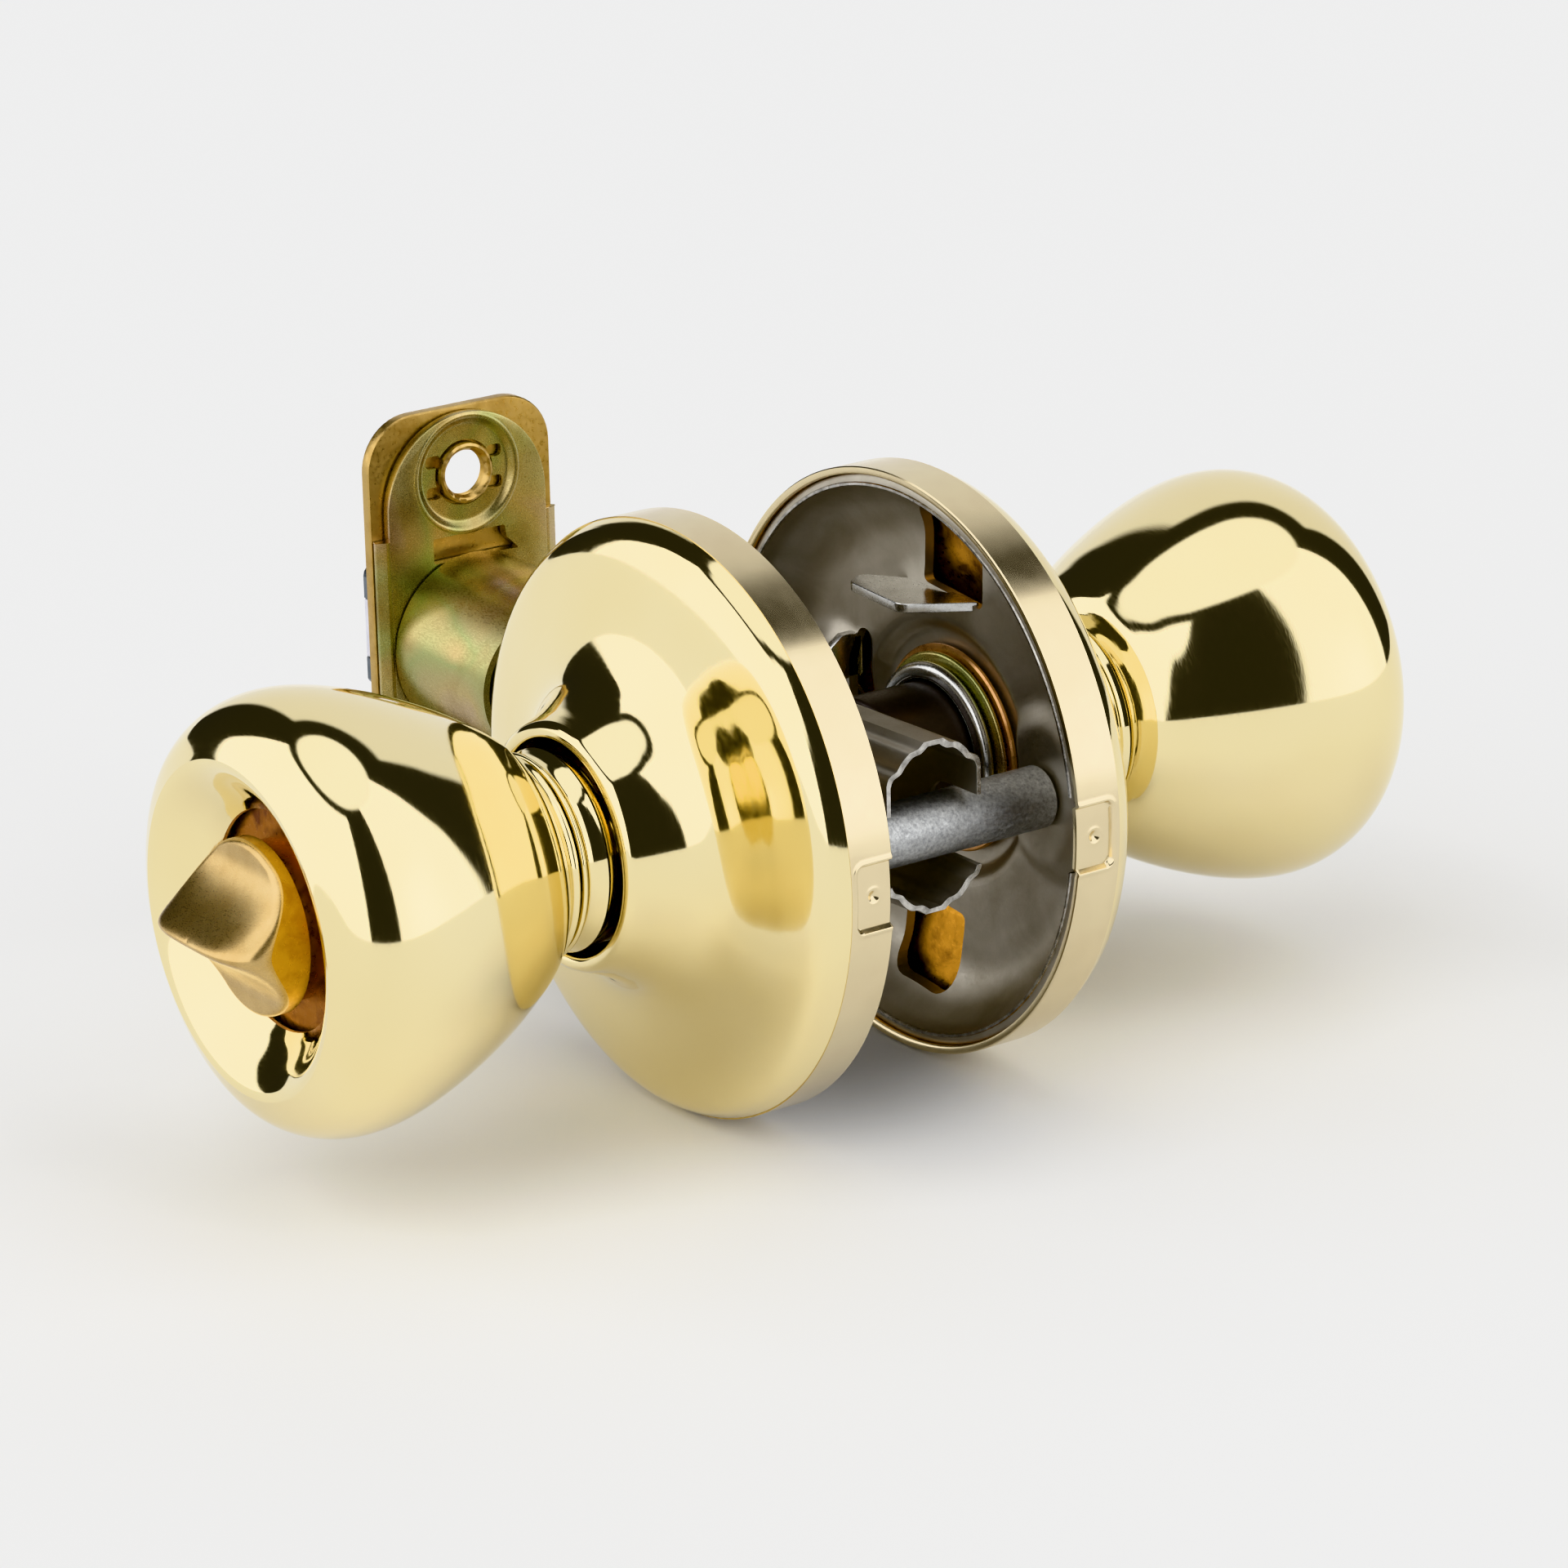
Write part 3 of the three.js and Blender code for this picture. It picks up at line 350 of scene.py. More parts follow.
def revolve(profile, angles=ROUND, closed=True, material=None):
    """A bmesh turned round the Y axis from (radius, along) points. Angle 0 is +X, 90 is +Z.

    The angles are a list in degrees or a number of equal steps, and material gives the material
    index of the faces that start at a point.
    """
    if isinstance(angles, int):
        angles = [360.0 * k / angles for k in range(angles)]
    bm = bmesh.new()
    rings = []
    for radius, along in profile:
        if radius < 1e-6:
            rings.append([bm.verts.new((0.0, along, 0.0))])
            continue
        ring = []
        for a in angles:
            r = math.radians(a)
            ring.append(bm.verts.new((radius * math.cos(r), along, radius * math.sin(r))))
        rings.append(ring)
    count = len(rings)
    for i in range(count if closed else count - 1):
        first, second = rings[i], rings[(i + 1) % count]
        for k in range(len(angles)):
            n = (k + 1) % len(angles)
            corners = [first[k % len(first)], first[n % len(first)],
                       second[n % len(second)], second[k % len(second)]]
            unique = list(dict.fromkeys(corners))
            if len(unique) > 2:
                face = bm.faces.new(unique)
                if material:
                    face.material_index = material(i)
    return bm


def half_turn(bm, side):
    """Interior pieces are exterior ones turned half round the upright axis."""
    if side < 0:
        bm.transform(Matrix.Rotation(math.pi, 4, "Z"))
    return bm


def along_x(bm, z):
    """Lays a piece that was turned round the Y axis along X, at a height."""
    bm.transform(Matrix.Translation((0, 0, z)) @ Matrix.Rotation(-math.pi / 2, 4, "Z"))
    return bm


def extrude(outline, start, end, axis="X"):
    """A prism from an outline: (y, z) points along X, (x, z) along Y or (x, y) along Z."""
    place = {
        "X": lambda p, t: (t, p[0], p[1]),
        "Y": lambda p, t: (p[0], t, p[1]),
        "Z": lambda p, t: (p[0], p[1], t),
    }[axis]
    bm = bmesh.new()
    low = [bm.verts.new(place(p, start)) for p in outline]
    high = [bm.verts.new(place(p, end)) for p in outline]
    for i in range(len(outline)):
        n = (i + 1) % len(outline)
        bm.faces.new((low[i], low[n], high[n], high[i]))
    bm.faces.new(low)
    bm.faces.new(high)
    bmesh.ops.recalc_face_normals(bm, faces=bm.faces)
    return bm


def rounded(corners, radii, steps=5):
    """The outline of a polygon with rounded corners, of one radius or of one each."""
    line = []
    count = len(corners)
    for i, corner in enumerate(corners):
        p = Vector(corner)
        before = (Vector(corners[i - 1]) - p).normalized()
        after = (Vector(corners[(i + 1) % count]) - p).normalized()
        radius = radii[i] if hasattr(radii, "__len__") else radii
        half = before.angle(after) / 2
        reach = radius / math.tan(half)
        centre = p + (before + after).normalized() * radius / math.sin(half)
        a, b = p + before * reach - centre, p + after * reach - centre
        turn = a.angle_signed(b)
        for k in range(steps + 1):
            angle = -turn * k / steps
            c, s = math.cos(angle), math.sin(angle)
            line.append((centre.x + a.x * c - a.y * s, centre.y + a.x * s + a.y * c))
    return line


def as_object(bm, name):
    bmesh.ops.recalc_face_normals(bm, faces=bm.faces)
    mesh = bpy.data.meshes.new(name)
    bm.to_mesh(mesh)
    bm.free()
    made = bpy.data.objects.new(name, mesh)
    bpy.context.scene.collection.objects.link(made)
    return made


def carve(bm, *tools, operation="DIFFERENCE"):
    """The bmesh with each tool cut from it, or what it has in common with each tool."""
    target = as_object(bm, "target")
    for tool in tools:
        cutter = as_object(tool, "tool")
        modifier = target.modifiers.new("carve", "BOOLEAN")
        modifier.object = cutter
        modifier.operation = operation
        modifier.solver = "EXACT"
        graph = bpy.context.evaluated_depsgraph_get()
        mesh = bpy.data.meshes.new_from_object(target.evaluated_get(graph))
        target.modifiers.clear()
        target.data = mesh
        bpy.data.objects.remove(cutter)
    result = bmesh.new()
    result.from_mesh(target.data)
    bpy.data.objects.remove(target)
    return result


def soften(bm, width, segments, angle=35):
    """Rounds the edges of a bmesh that turn by more than an angle in degrees."""
    limit = math.radians(angle)
    edges = [e for e in bm.edges if len(e.link_faces) == 2 and e.calc_face_angle(0) > limit]
    bmesh.ops.bevel(bm, geom=edges, offset=width, segments=segments, profile=0.6,
                    affect="EDGES", clamp_overlap=True)
    return bm


# ---- measures taken from the frame, in millimetres ----------------------------------------------
def span(node):
    """The two corners of a node's box."""
    low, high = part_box(node)
    return low / MM, high / MM


FACE_X = span("latch_faceplate")[0].x
BOLT_TIP = span("latch_bolt")[0].x
TUBE_START, TUBE_END = (corner.x for corner in span("latch_tube"))
CASE_START, CASE_END = (corner.x for corner in span("latch_case"))
POST_X = sum(corner.x for corner in span("post_near")) / 2
RIM_Y = span("exterior_rose")[0].y
ROSE_RADIUS = span("exterior_rose")[1].z
HALVES = (("exterior", 1), ("interior", -1))


# ---- roses --------------------------------------------------------------------------------------
SHEET = 0.9
RIM_TOP = 18.2  # above this the rim turns into the shoulder
BAND_ROWS, BAND_STEP = 34, 0.16  # rows of faces up the straight rim, and their height
RIM_BEVEL = 0.12
ROSE_DOME = [
    (33.32, 17.72), (33.08, 18.35), (32.7, 19.1), (32.15, 19.9), (31.3, 20.52), (29.8, 21.05),
    (27.0, 21.7), (24.2, 22.25), (21.4, 22.9), (19.3, 23.65), (17.7, 24.65), (16.5, 26.0),
    (15.5, 27.6), (14.75, 29.1), (14.2, 30.5), (13.85, 31.45),
]
ROSE_LIP = [(13.6, 32.0), (13.15, 32.36), (12.6, 32.4), (12.15, 32.15), (11.95, 31.6)]
ROSE_LINING = [
    (11.95, 31.0), (13.3, 29.2), (15.6, 25.4), (17.0, 23.9), (18.8, 22.8), (21.2, 22.05),
    (24.3, 21.4), (28.8, 20.4), (30.8, 19.75), (31.6, 19.1), (ROSE_RADIUS - SHEET, 17.2),
]
LINING_TOP, LINING_ROWS, LINING_STEP = 16.6, 13, 0.32  # rows down the inside of the rim
FINE_STEPS, FINE_STEP = 34, 0.25  # degrees, to each side of the notch
COARSE_STEPS = 136  # round the rest

NOTCH_HALF = 3.7  # the pry notch pressed into the rim, half its width
NOTCH_HIGH = 4.6
NOTCH_CORNER = 0.9
NOTCH_SINK = 0.52
NOTCH_WALL = 0.24
NOTCH_RIDGE, RIDGE_PLACE, RIDGE_WIDTH = 0.14, 0.28, 0.22  # the raised line round the notch
DIMPLE_RADIUS = 0.85
DIMPLE_DEEP, DIMPLE_LIP, LIP_WIDTH = 0.34, 0.10, 0.28


def notch_depth(across, up):
    """How far the rim is pressed in at a place across and up the notch."""
    qx = abs(across) - (NOTCH_HALF - NOTCH_CORNER)
    qy = up - (NOTCH_HIGH - NOTCH_CORNER)
    outside = math.hypot(max(qx, 0), max(qy, 0)) + min(max(qx, qy), 0) - NOTCH_CORNER
    sink = NOTCH_SINK * ease(0.3 - outside / NOTCH_WALL)
    ridge = NOTCH_RIDGE * math.exp(-((outside - RIDGE_PLACE) / RIDGE_WIDTH) ** 2)
    d = math.hypot(across, up - NOTCH_HIGH / 2) / DIMPLE_RADIUS
    lip = DIMPLE_LIP * math.exp(-((d - 1.0) / LIP_WIDTH) ** 2)
    return sink - ridge + DIMPLE_DEEP * math.exp(-(d * 1.7) ** 2) - lip


def rose(half, side):
    band = [(ROSE_RADIUS, RIM_Y + RIM_BEVEL + BAND_STEP * k) for k in range(BAND_ROWS)]
    outer = [(ROSE_RADIUS - RIM_BEVEL, RIM_Y), *band, *curve(ROSE_DOME, 8), *curve(ROSE_LIP, 5)]
    bore = ROSE_RADIUS - SHEET
    inner = [
        *curve(ROSE_LINING, 5),
        *[(bore, LINING_TOP - LINING_STEP * k) for k in range(LINING_ROWS)],
        (bore + 0.05, RIM_Y + 0.1), (bore + 0.2, RIM_Y),
    ]
    edge = FINE_STEPS * FINE_STEP
    fine = [k * FINE_STEP for k in range(-FINE_STEPS, FINE_STEPS + 1)]
    coarse = [edge + (360 - 2 * edge) * k / COARSE_STEPS for k in range(1, COARSE_STEPS)]
    lining_start = len(outer)
    lining_end = lining_start + len(inner) - 3

    def finish(i):
        if lining_start <= i < lining_end:
            return 1
        return 2 if i <= len(band) or i >= lining_end else 0

    bm = revolve([*outer, *inner], [*fine, *coarse], material=finish)
    for v in bm.verts:
        if v.co.x > ROSE_RADIUS - 3.4 and abs(v.co.z) < 5 and v.co.y < RIM_TOP:
            radius = math.hypot(v.co.x, v.co.z)
            angle = math.atan2(v.co.z, v.co.x)
            radius -= notch_depth(angle * ROSE_RADIUS, v.co.y - RIM_Y)
            v.co.x = radius * math.cos(angle)
            v.co.z = radius * math.sin(angle)
    if side < 0:  # turned about X, so that both notches are on the same side of the door
        bm.transform(Matrix.Rotation(math.pi, 4, "X"))
    piece(f"{half}_rose_shell", bm, ["polished_brass", "rose_lining", "rim_brass"], "chassis",
          [f"{half}_rose"], sharp=math.radians(40))


# ---- mounting plates ----------------------------------------------------------------------------
PLATE = 1.2
FLOOR = 19.6
HUB_FLOOR = 21.2  # the plate is sunk round the hub
FLAT_START, FLAT_STEP, FLAT_ROWS = 17.0, 1.05, 5
PLATE_RIM = [
    (21.0, FLOOR), (22.0, FLOOR - 0.05), (25.6, 19.2), (28.4, 17.7), (30.4, 15.4), (31.0, 13.9),
    (31.2, 12.95),
]
RIVET_HOLE = 2.75

PAD_RISE = 1.25
PAD_HALF = 2.6  # half the straight sides of the raised oblong
PAD_REACH, PAD_SLOPE = 8.2, 3.6

WINDOW = [(-5.3, 18.5), (5.3, 18.5), (5.1, 28.6), (-5.1, 28.6)]
WINDOW_CORNERS = [0.8, 0.8, 2.4, 2.4]
WINDOW_TURN = -5.5  # degrees the two windows are turned from upright
TAB = [(5.8, 20.3), (-5.6, 20.3), (-11.2, 16.4), (-9.6, 13.7), (0.8, 12.9)]  # lanced, from above
TAB_CORNERS = [0.2, 0.2, 1.3, 1.6, 1.8]
TAB_LOW = 17.4
TAB_HIGH = 18.5
SIDE_SLOT = (-16.2, 2.0, -13.4, 10.5)
SIDE_TAB = [(4.4, 20.3), (9.7, 20.3), (9.7, 17.6), (8.4, 15.8), (5.6, 15.8), (4.4, 17.2)]
SIDE_TAB_THICK = 1.2
CUT_EDGE = [(31.15, 12.9), (31.22, 12.76), (31.5, 12.74), (31.6, 12.9), (31.55, 13.6), (31.2, 13.6)]
RIM_GAP = (28.7, 34.0, 4.3)  # the gap behind the rose's notch: from, to and half its width


def pad_height(x, z):
    """The raised pad pressed round each post, a rounded oblong that blends into the floor."""
    d = math.hypot(abs(x) - POST_X, max(abs(z) - PAD_HALF, 0))
    return PAD_RISE * ease((PAD_REACH - d) / PAD_SLOPE)


def plate_face():
    """The front of the plate from the hub out to the rim, as (radius, along) points."""
    step = curve([(12.9, HUB_FLOOR), (13.7, 20.95), (14.9, 19.9), (15.9, FLOOR)], 4)
    flat = [(FLAT_START + FLAT_STEP * k, FLOOR) for k in range(FLAT_ROWS)]
    rim = [p for p in curve(PLATE_RIM, 5) if p[0] > 21.9]
    return [(9.4, HUB_FLOOR), (11.2, HUB_FLOOR), *step, *flat, *rim]


def plate_back(face):
    """The back of the plate from the rim in to the hub, a sheet's thickness behind the face."""
    back = [(31.2 + PLATE * 0.45, 12.9)]
    for i in range(len(face) - 1, -1, -1):
        a, b = face[max(i - 1, 0)], face[min(i + 1, len(face) - 1)]
        length = math.hypot(b[0] - a[0], b[1] - a[1])
        back.append((face[i][0] - PLATE * (b[1] - a[1]) / length,
                     face[i][1] + PLATE * (b[0] - a[0]) / length))
    return back


def mounting_plate(half, side):
    face = plate_face()
    bm = revolve([*face, *plate_back(face)], 180)
    for v in bm.verts:
        if v.co.y > 17:
            v.co.y -= pad_height(v.co.x, v.co.z)
    tools = []
    turn = Matrix.Rotation(math.radians(-WINDOW_TURN * side), 4, "Y")
    for sign in (1, -1):
        outline = [(x, z * sign) for x, z in rounded(WINDOW, WINDOW_CORNERS)]
        window = extrude(outline, FLOOR - 6, FLOOR + 4, "Y")
        window.transform(turn)
        tools.append(window)
        hole = disc((sign * POST_X, 0), RIVET_HOLE, 24)
        tools.append(extrude(hole, FLOOR - 4, FLOOR + 4, "Y"))
    slot = rounded(oblong(*SIDE_SLOT), [0.5, 0.5, 1.35, 1.35])
    tools.append(extrude(slot, FLOOR - 4, FLOOR + 5, "Y"))
    near, far, gap_half = RIM_GAP
    gap = oblong(near * side, -gap_half, far * side, gap_half)
    tools.append(extrude(rounded(gap[::side], 0.5), RIM_Y - 1, RIM_Y + 5.2, "Y"))
    bm = carve(bm, *tools)
    tab = rounded(TAB, TAB_CORNERS, 7)
    if side < 0:
        tab = [(-x, y) for x, y in tab]
    tab_bm = soften(extrude(tab, TAB_LOW, TAB_HIGH, "Z"), 0.3, 3)
    side_bm = extrude([(z, y) for y, z in rounded(SIDE_TAB, 0.5)], -SIDE_TAB_THICK, 0.0, "X")
    side_bm.transform(Matrix.Translation((SIDE_SLOT[0], 0, 0)))
    soften(side_bm, 0.25, 2)
    piece(f"{half}_plate_dish", half_turn(bm, side), "grey_steel", "chassis",
          [f"{half}_mounting_plate"], sharp=math.radians(28))
    piece(f"{half}_plate_top_tab", half_turn(tab_bm, side), "bright_steel", "chassis")
    piece(f"{half}_plate_side_tab", half_turn(side_bm, side), "bright_steel", "chassis")
    rim = carve(revolve(CUT_EDGE, ROUND), extrude(gap, RIM_Y - 1, RIM_Y + 5.2, "Y"))
    piece(f"{half}_plate_cut_edge", half_turn(rim, side), "cut_edge", "chassis")


# ---- hubs ---------------------------------------------------------------------------------------
EXTERIOR_SET = 1.5  # how much closer the exterior knob sits to its rose
HUB_WASHER = [(9.5, 20.1), (11.7, 20.1), (11.9, 20.3), (11.9, 20.6), (11.7, 20.85), (9.5, 20.85)]
HUB_BEARING = [
    (8.6, 19.3), *arc((10.85, 19.6), 0.35, -90, 90, 6), (10.4, 19.98), (9.5, 20.0), (9.1, 20.2),
    (9.1, 25.0), (8.6, 25.0),
]
HUB_RING = [
    (8.5, 17.5), *arc((8.95, 17.85), 0.5, 180, 270, 5), *arc((9.5, 18.2), 0.82, -90, 90, 10),
    (8.5, 19.02),
]
SLEEVE = [
    (4.6, 7.8), (4.8, 7.6), (7.6, 7.6), *arc((7.6, 8.2), 0.6, -80, 0, 5), (8.2, 18.0),
    (8.2, 50.0), (7.2, 50.0), (7.2, 10.0), (4.6, 10.0),
]
NECK = [
    (8.5, 25.8), (10.95, 25.8), (10.95, 32.9), (11.12, 33.1),
    *curve([(11.2, 33.3), (10.95, 33.75), (10.62, 34.5), (10.5, 35.2), (10.7, 35.8)], 5),
    *arc((11.0, 36.2), 0.36, -120, 110, 8), (10.6, 36.6), (8.5, 36.8),
]
NECK_FIXED = 32  # the part of the neck inside the rose, which is the same on both halves


def hub(half, side):
    piece(f"{half}_hub_washer", half_turn(revolve(HUB_WASHER, RING), side), "copper", "chassis",
          [f"{half}_thrust_washer"])
    piece(f"{half}_hub_bearing", half_turn(revolve(HUB_BEARING, RING), side),
          "dichromate_steel", "chassis", [f"{half}_hub_bush"])
    piece(f"{half}_hub_ring", half_turn(revolve(HUB_RING, RING), side), "bright_steel",
          f"{half}_knob", [f"{half}_retaining_ring"])
    piece(f"{half}_drive_sleeve", half_turn(revolve(SLEEVE, RING), side), "dark_steel",
          f"{half}_knob", [f"{half}_drive_tube"])
    neck = revolve(NECK)
    for v in neck.verts:
        if side > 0 and v.co.y > NECK_FIXED:
            v.co.y -= EXTERIOR_SET
    piece(f"{half}_neck", half_turn(neck, side), "polished_brass", f"{half}_knob",
          [f"{half}_knob_neck"], sharp=math.radians(30))


# ---- knobs --------------------------------------------------------------------------------------
KNOB_FOOT = [
    (11.05, 37.25), (11.2, 37.1), (11.5, 37.12), (11.62, 37.3),
    *curve([(11.6, 37.42), (11.5, 37.95), (11.75, 38.6)], 4), (11.95, 38.68),
]
KNOB_BODY = [
    (12.25, 38.85), (13.1, 39.4), (14.3, 40.35), (15.3, 41.6), (16.5, 43.4), (18.3, 46.4),
    (20.2, 50.2), (21.9, 54.3), (23.2, 58.4), (23.85, 62.2), (23.72, 65.5), (22.75, 68.5),
    (21.0, 70.75), (18.2, 72.2),
]
CROWNED_FACE = [  # the exterior knob's, with the emergency release hole
    *curve([(18.2, 72.2), (13.6, 73.3), (8.0, 73.9), (2.4, 74.0)], 8),
    (1.9, 73.95), (1.6, 73.6), (1.6, 73.0), (8.0, 72.9), (13.4, 72.3),
]
BUTTON_FACE = [  # the interior knob's, which dips to the turn button
    *curve([(18.2, 72.2), (17.2, 71.95), (15.9, 71.1), (14.4, 69.8), (13.1, 68.6), (12.2, 67.6)],
           7),
    (11.95, 67.3), (11.9, 66.95), (12.6, 66.9), (15.2, 69.0), (17.0, 70.6),
]
KNOB_INSIDE = [
    (19.6, 70.2), (21.9, 67.4), (22.8, 62.0), (21.3, 55.4), (18.4, 48.4), (14.9, 43.2),
    (10.6, 40.2), (10.4, 37.3), (10.55, 37.1),
]
DRAWN_TOP, DRAWN_RUN = 58.0, 20.0  # the exterior knob is drawn in more towards its foot
DRAWN_SHARE = 0.25


def knob(half, side):
    face = CROWNED_FACE if side > 0 else BUTTON_FACE
    bm = revolve([*KNOB_FOOT, *curve(KNOB_BODY, 9), *face[1:], *KNOB_INSIDE], 192)
    if side > 0:
        for v in bm.verts:
            near_foot = min(max((DRAWN_TOP - v.co.y) / DRAWN_RUN, 0), 1)
            v.co.y -= EXTERIOR_SET * (1 + DRAWN_SHARE * near_foot)
    piece(f"{half}_knob_bell", half_turn(bm, side), "polished_brass", f"{half}_knob",
          [f"{half}_knob_shell"], sharp=math.radians(30))


# ---- turn button --------------------------------------------------------------------------------
BUTTON_RADIUS = 9.5
BUTTON_SCOOP = 70.9  # how far out the floors of the two hollows are
BUTTON_TIP = 73.7  # the ridge at its two ends
BUTTON_CREST = 78.2
BUTTON_EDGE = 0.7  # the rounding of its outer edge
HOLLOW_REACH = 7.4  # from the ridge to the floor of a hollow
RIDGE_ROUND = 0.10
BUTTON_RINGS, BUTTON_SPOKES = 44, 160
BUTTON_SIDE = [
    (BUTTON_RADIUS, 69.0), (BUTTON_RADIUS - 0.25, 68.8), (8.6, 68.7), (8.6, 66.25), (12.4, 66.2),
    (12.4, 64.8), (4.0, 64.8), (4.0, 56.0),
]
BUTTON_END = 56.0


def button_height(x, z):
    """How far out the button's face is: a rounded ridge along X between two hollows."""
    end = min(abs(x) / (BUTTON_RADIUS + 0.05), 1.0)
    crest = BUTTON_TIP + (BUTTON_CREST - BUTTON_TIP) * math.sqrt(max(1 - end ** 3.6, 0))
    fall = min(abs(z) / HOLLOW_REACH, 1.0)
    shoulder = math.sqrt(fall * fall + RIDGE_ROUND ** 2) - RIDGE_ROUND
    steep = (1 - min(shoulder * 1.02, 1.0)) ** 2.1
    return BUTTON_SCOOP + (crest - BUTTON_SCOOP) * steep


def turn_button():
    """A round button with two hollows that leave a rounded ridge along X."""
    bm = bmesh.new()
    turns = [2 * math.pi * k / BUTTON_SPOKES for k in range(BUTTON_SPOKES)]
    rows = []
    for i in range(BUTTON_RINGS + 1):
        r = BUTTON_RADIUS * math.sin(math.pi / 2 * i / BUTTON_RINGS)
        edge = max(0.0, (r - (BUTTON_RADIUS - BUTTON_EDGE)) / BUTTON_EDGE)
        drop = (1.0 - math.sqrt(max(1.0 - edge * edge, 0.0))) * BUTTON_EDGE
        row = []
        for a in turns if i else turns[:1]:
            x, z = r * math.cos(a), r * math.sin(a)
            row.append(bm.verts.new((x, button_height(x, z) - drop, z)))
        rows.append(row)
    for r, y in BUTTON_SIDE:
        rows.append([bm.verts.new((r * math.cos(a), y, r * math.sin(a))) for a in turns])
    rows.append([bm.verts.new((0, BUTTON_END, 0))])
    for i, (first, second) in enumerate(zip(rows, rows[1:])):
        for k in range(BUTTON_SPOKES):
            n = (k + 1) % BUTTON_SPOKES
            corners = [first[k % len(first)], first[n % len(first)],
                       second[n % len(second)], second[k % len(second)]]
            face = bm.faces.new(list(dict.fromkeys(corners)))
            # the top band of the wall gets the amber side brass; below it, down in the knob's well,
            # the dark brown is painted shade
            if i >= BUTTON_RINGS:
                face.material_index = 1 if i < BUTTON_RINGS + 2 else 2
    slot = extrude(oblong(-2.6, -1.0, 2.6, 1.0), BUTTON_END - 1, 63.3, "Y")
    piece("button_cap", half_turn(carve(bm, slot), -1),
          ["satin_brass", "button_side", "button_well_painted_shade"], "turn_button",
          ["turn_button"], sharp=math.radians(40))


# ---- posts --------------------------------------------------------------------------------------
POST_RADIUS = 3.5
POST_END = 17.8
POST = [
    (0, -4.1), (2.1, -4.1), (2.1, -18.0), (3.2, -18.1), (POST_RADIUS, -POST_END),
    (POST_RADIUS, POST_END), (3.2, 18.1), (2.3, 18.1), (2.3, 19.9), (3.8, 19.9), (3.6, 20.4),
    (3.0, 20.8), (0, 20.8),
]
POST_LUMPS = ((0.05, 1.3), (0.03, 3.7))  # height of the cast skin's lumps, and how close they are


def post(which, x):
    bm = revolve(POST, 64, closed=False)
    long_edges = [e for e in bm.edges if e.calc_length() > 20]
    bmesh.ops.subdivide_edges(bm, edges=long_edges, cuts=60, use_grid_fill=True)
    for v in bm.verts:
        if abs(v.co.y) < POST_END - 0.1 and math.hypot(v.co.x, v.co.z) > POST_RADIUS - 0.1:
            push = sum(height * noise.noise(v.co * close) for height, close in POST_LUMPS)
            v.co.x *= 1 + push / POST_RADIUS
            v.co.z *= 1 + push / POST_RADIUS
    bm.transform(Matrix.Translation((x, 0, 0)))
    piece(f"post_{which}_rod", bm, "cast_steel", "chassis", [f"post_{which}"])


# ---- latch faceplate ----------------------------------------------------------------------------
FACE_HALF_WIDE, FACE_HALF_HIGH = 12.7, 28.575
FACE_CORNER = 6.35
FACE_THICK = 1.5
FACE_HOLE_Z = 20.64
SCREW_HOLE, SCREW_SEAT = 2.95, 6.2
THREAD_PITCH, THREAD_CREST = 0.4, 2.72
BOLT_HALF_WIDE = 7.4
BOLT_HALF_HIGH = 8.3
BOLT_ROUND = 9.8
BOLT_GAP = 0.35


def bolt_outline(grow):
    """The bolt's cross-section: a round with four flats, as (y, z) points."""
    w, h, r = BOLT_HALF_WIDE + grow, BOLT_HALF_HIGH + grow, BOLT_ROUND + grow
    low = math.degrees(math.acos(w / r))
    high = math.degrees(math.asin(h / r))
    line = []
    for a, b in ((low, high), (180 - high, 180 - low), (180 + low, 180 + high),
                 (360 - high, 360 - low)):
        line += arc((0, 0), r, a, b, 5)
    return line


def faceplate():
    x = FACE_X
    corners = oblong(-FACE_HALF_WIDE, -FACE_HALF_HIGH, FACE_HALF_WIDE, FACE_HALF_HIGH)
    bm = soften(extrude(rounded(corners, FACE_CORNER, 12), x, x + FACE_THICK), 0.35, 3, 60)
    tools = [extrude(bolt_outline(BOLT_GAP), x - 1, x + 3)]
    for z in (FACE_HOLE_Z, -FACE_HOLE_Z):
        cone = revolve([(0, x - 1.0), (SCREW_SEAT, x - 1.0), (SCREW_HOLE, x + 1.3),
                        (SCREW_HOLE, x + 3), (0, x + 3)], 48, closed=False)
        tools.append(along_x(cone, z))
    piece("faceplate", carve(bm, *tools), "lacquered_brass", "chassis",
          ["latch_faceplate"])
    for name, z in (("upper", FACE_HOLE_Z), ("lower", -FACE_HOLE_Z)):
        threads = []
        for k in range(3):
            threads += [(SCREW_HOLE, x + 1.5 + THREAD_PITCH * k),
                        (THREAD_CREST, x + 1.7 + THREAD_PITCH * k)]
        collar = revolve([
            (3.7, x + 1.45), (3.72, x + 2.6), (3.6, x + 2.95), (3.3, x + 3.1), (3.0, x + 2.95),
            *threads[::-1],
        ], 64)
        for v in collar.verts:  # the torn edge of an extruded collar
            if v.co.y > x + 2.8:
                v.co.y += 0.16 * noise.noise(Vector((v.co.x, v.co.z, z)) * 1.4)
        piece(f"faceplate_collar_{name}", along_x(collar, z), "lacquered_brass", "chassis")


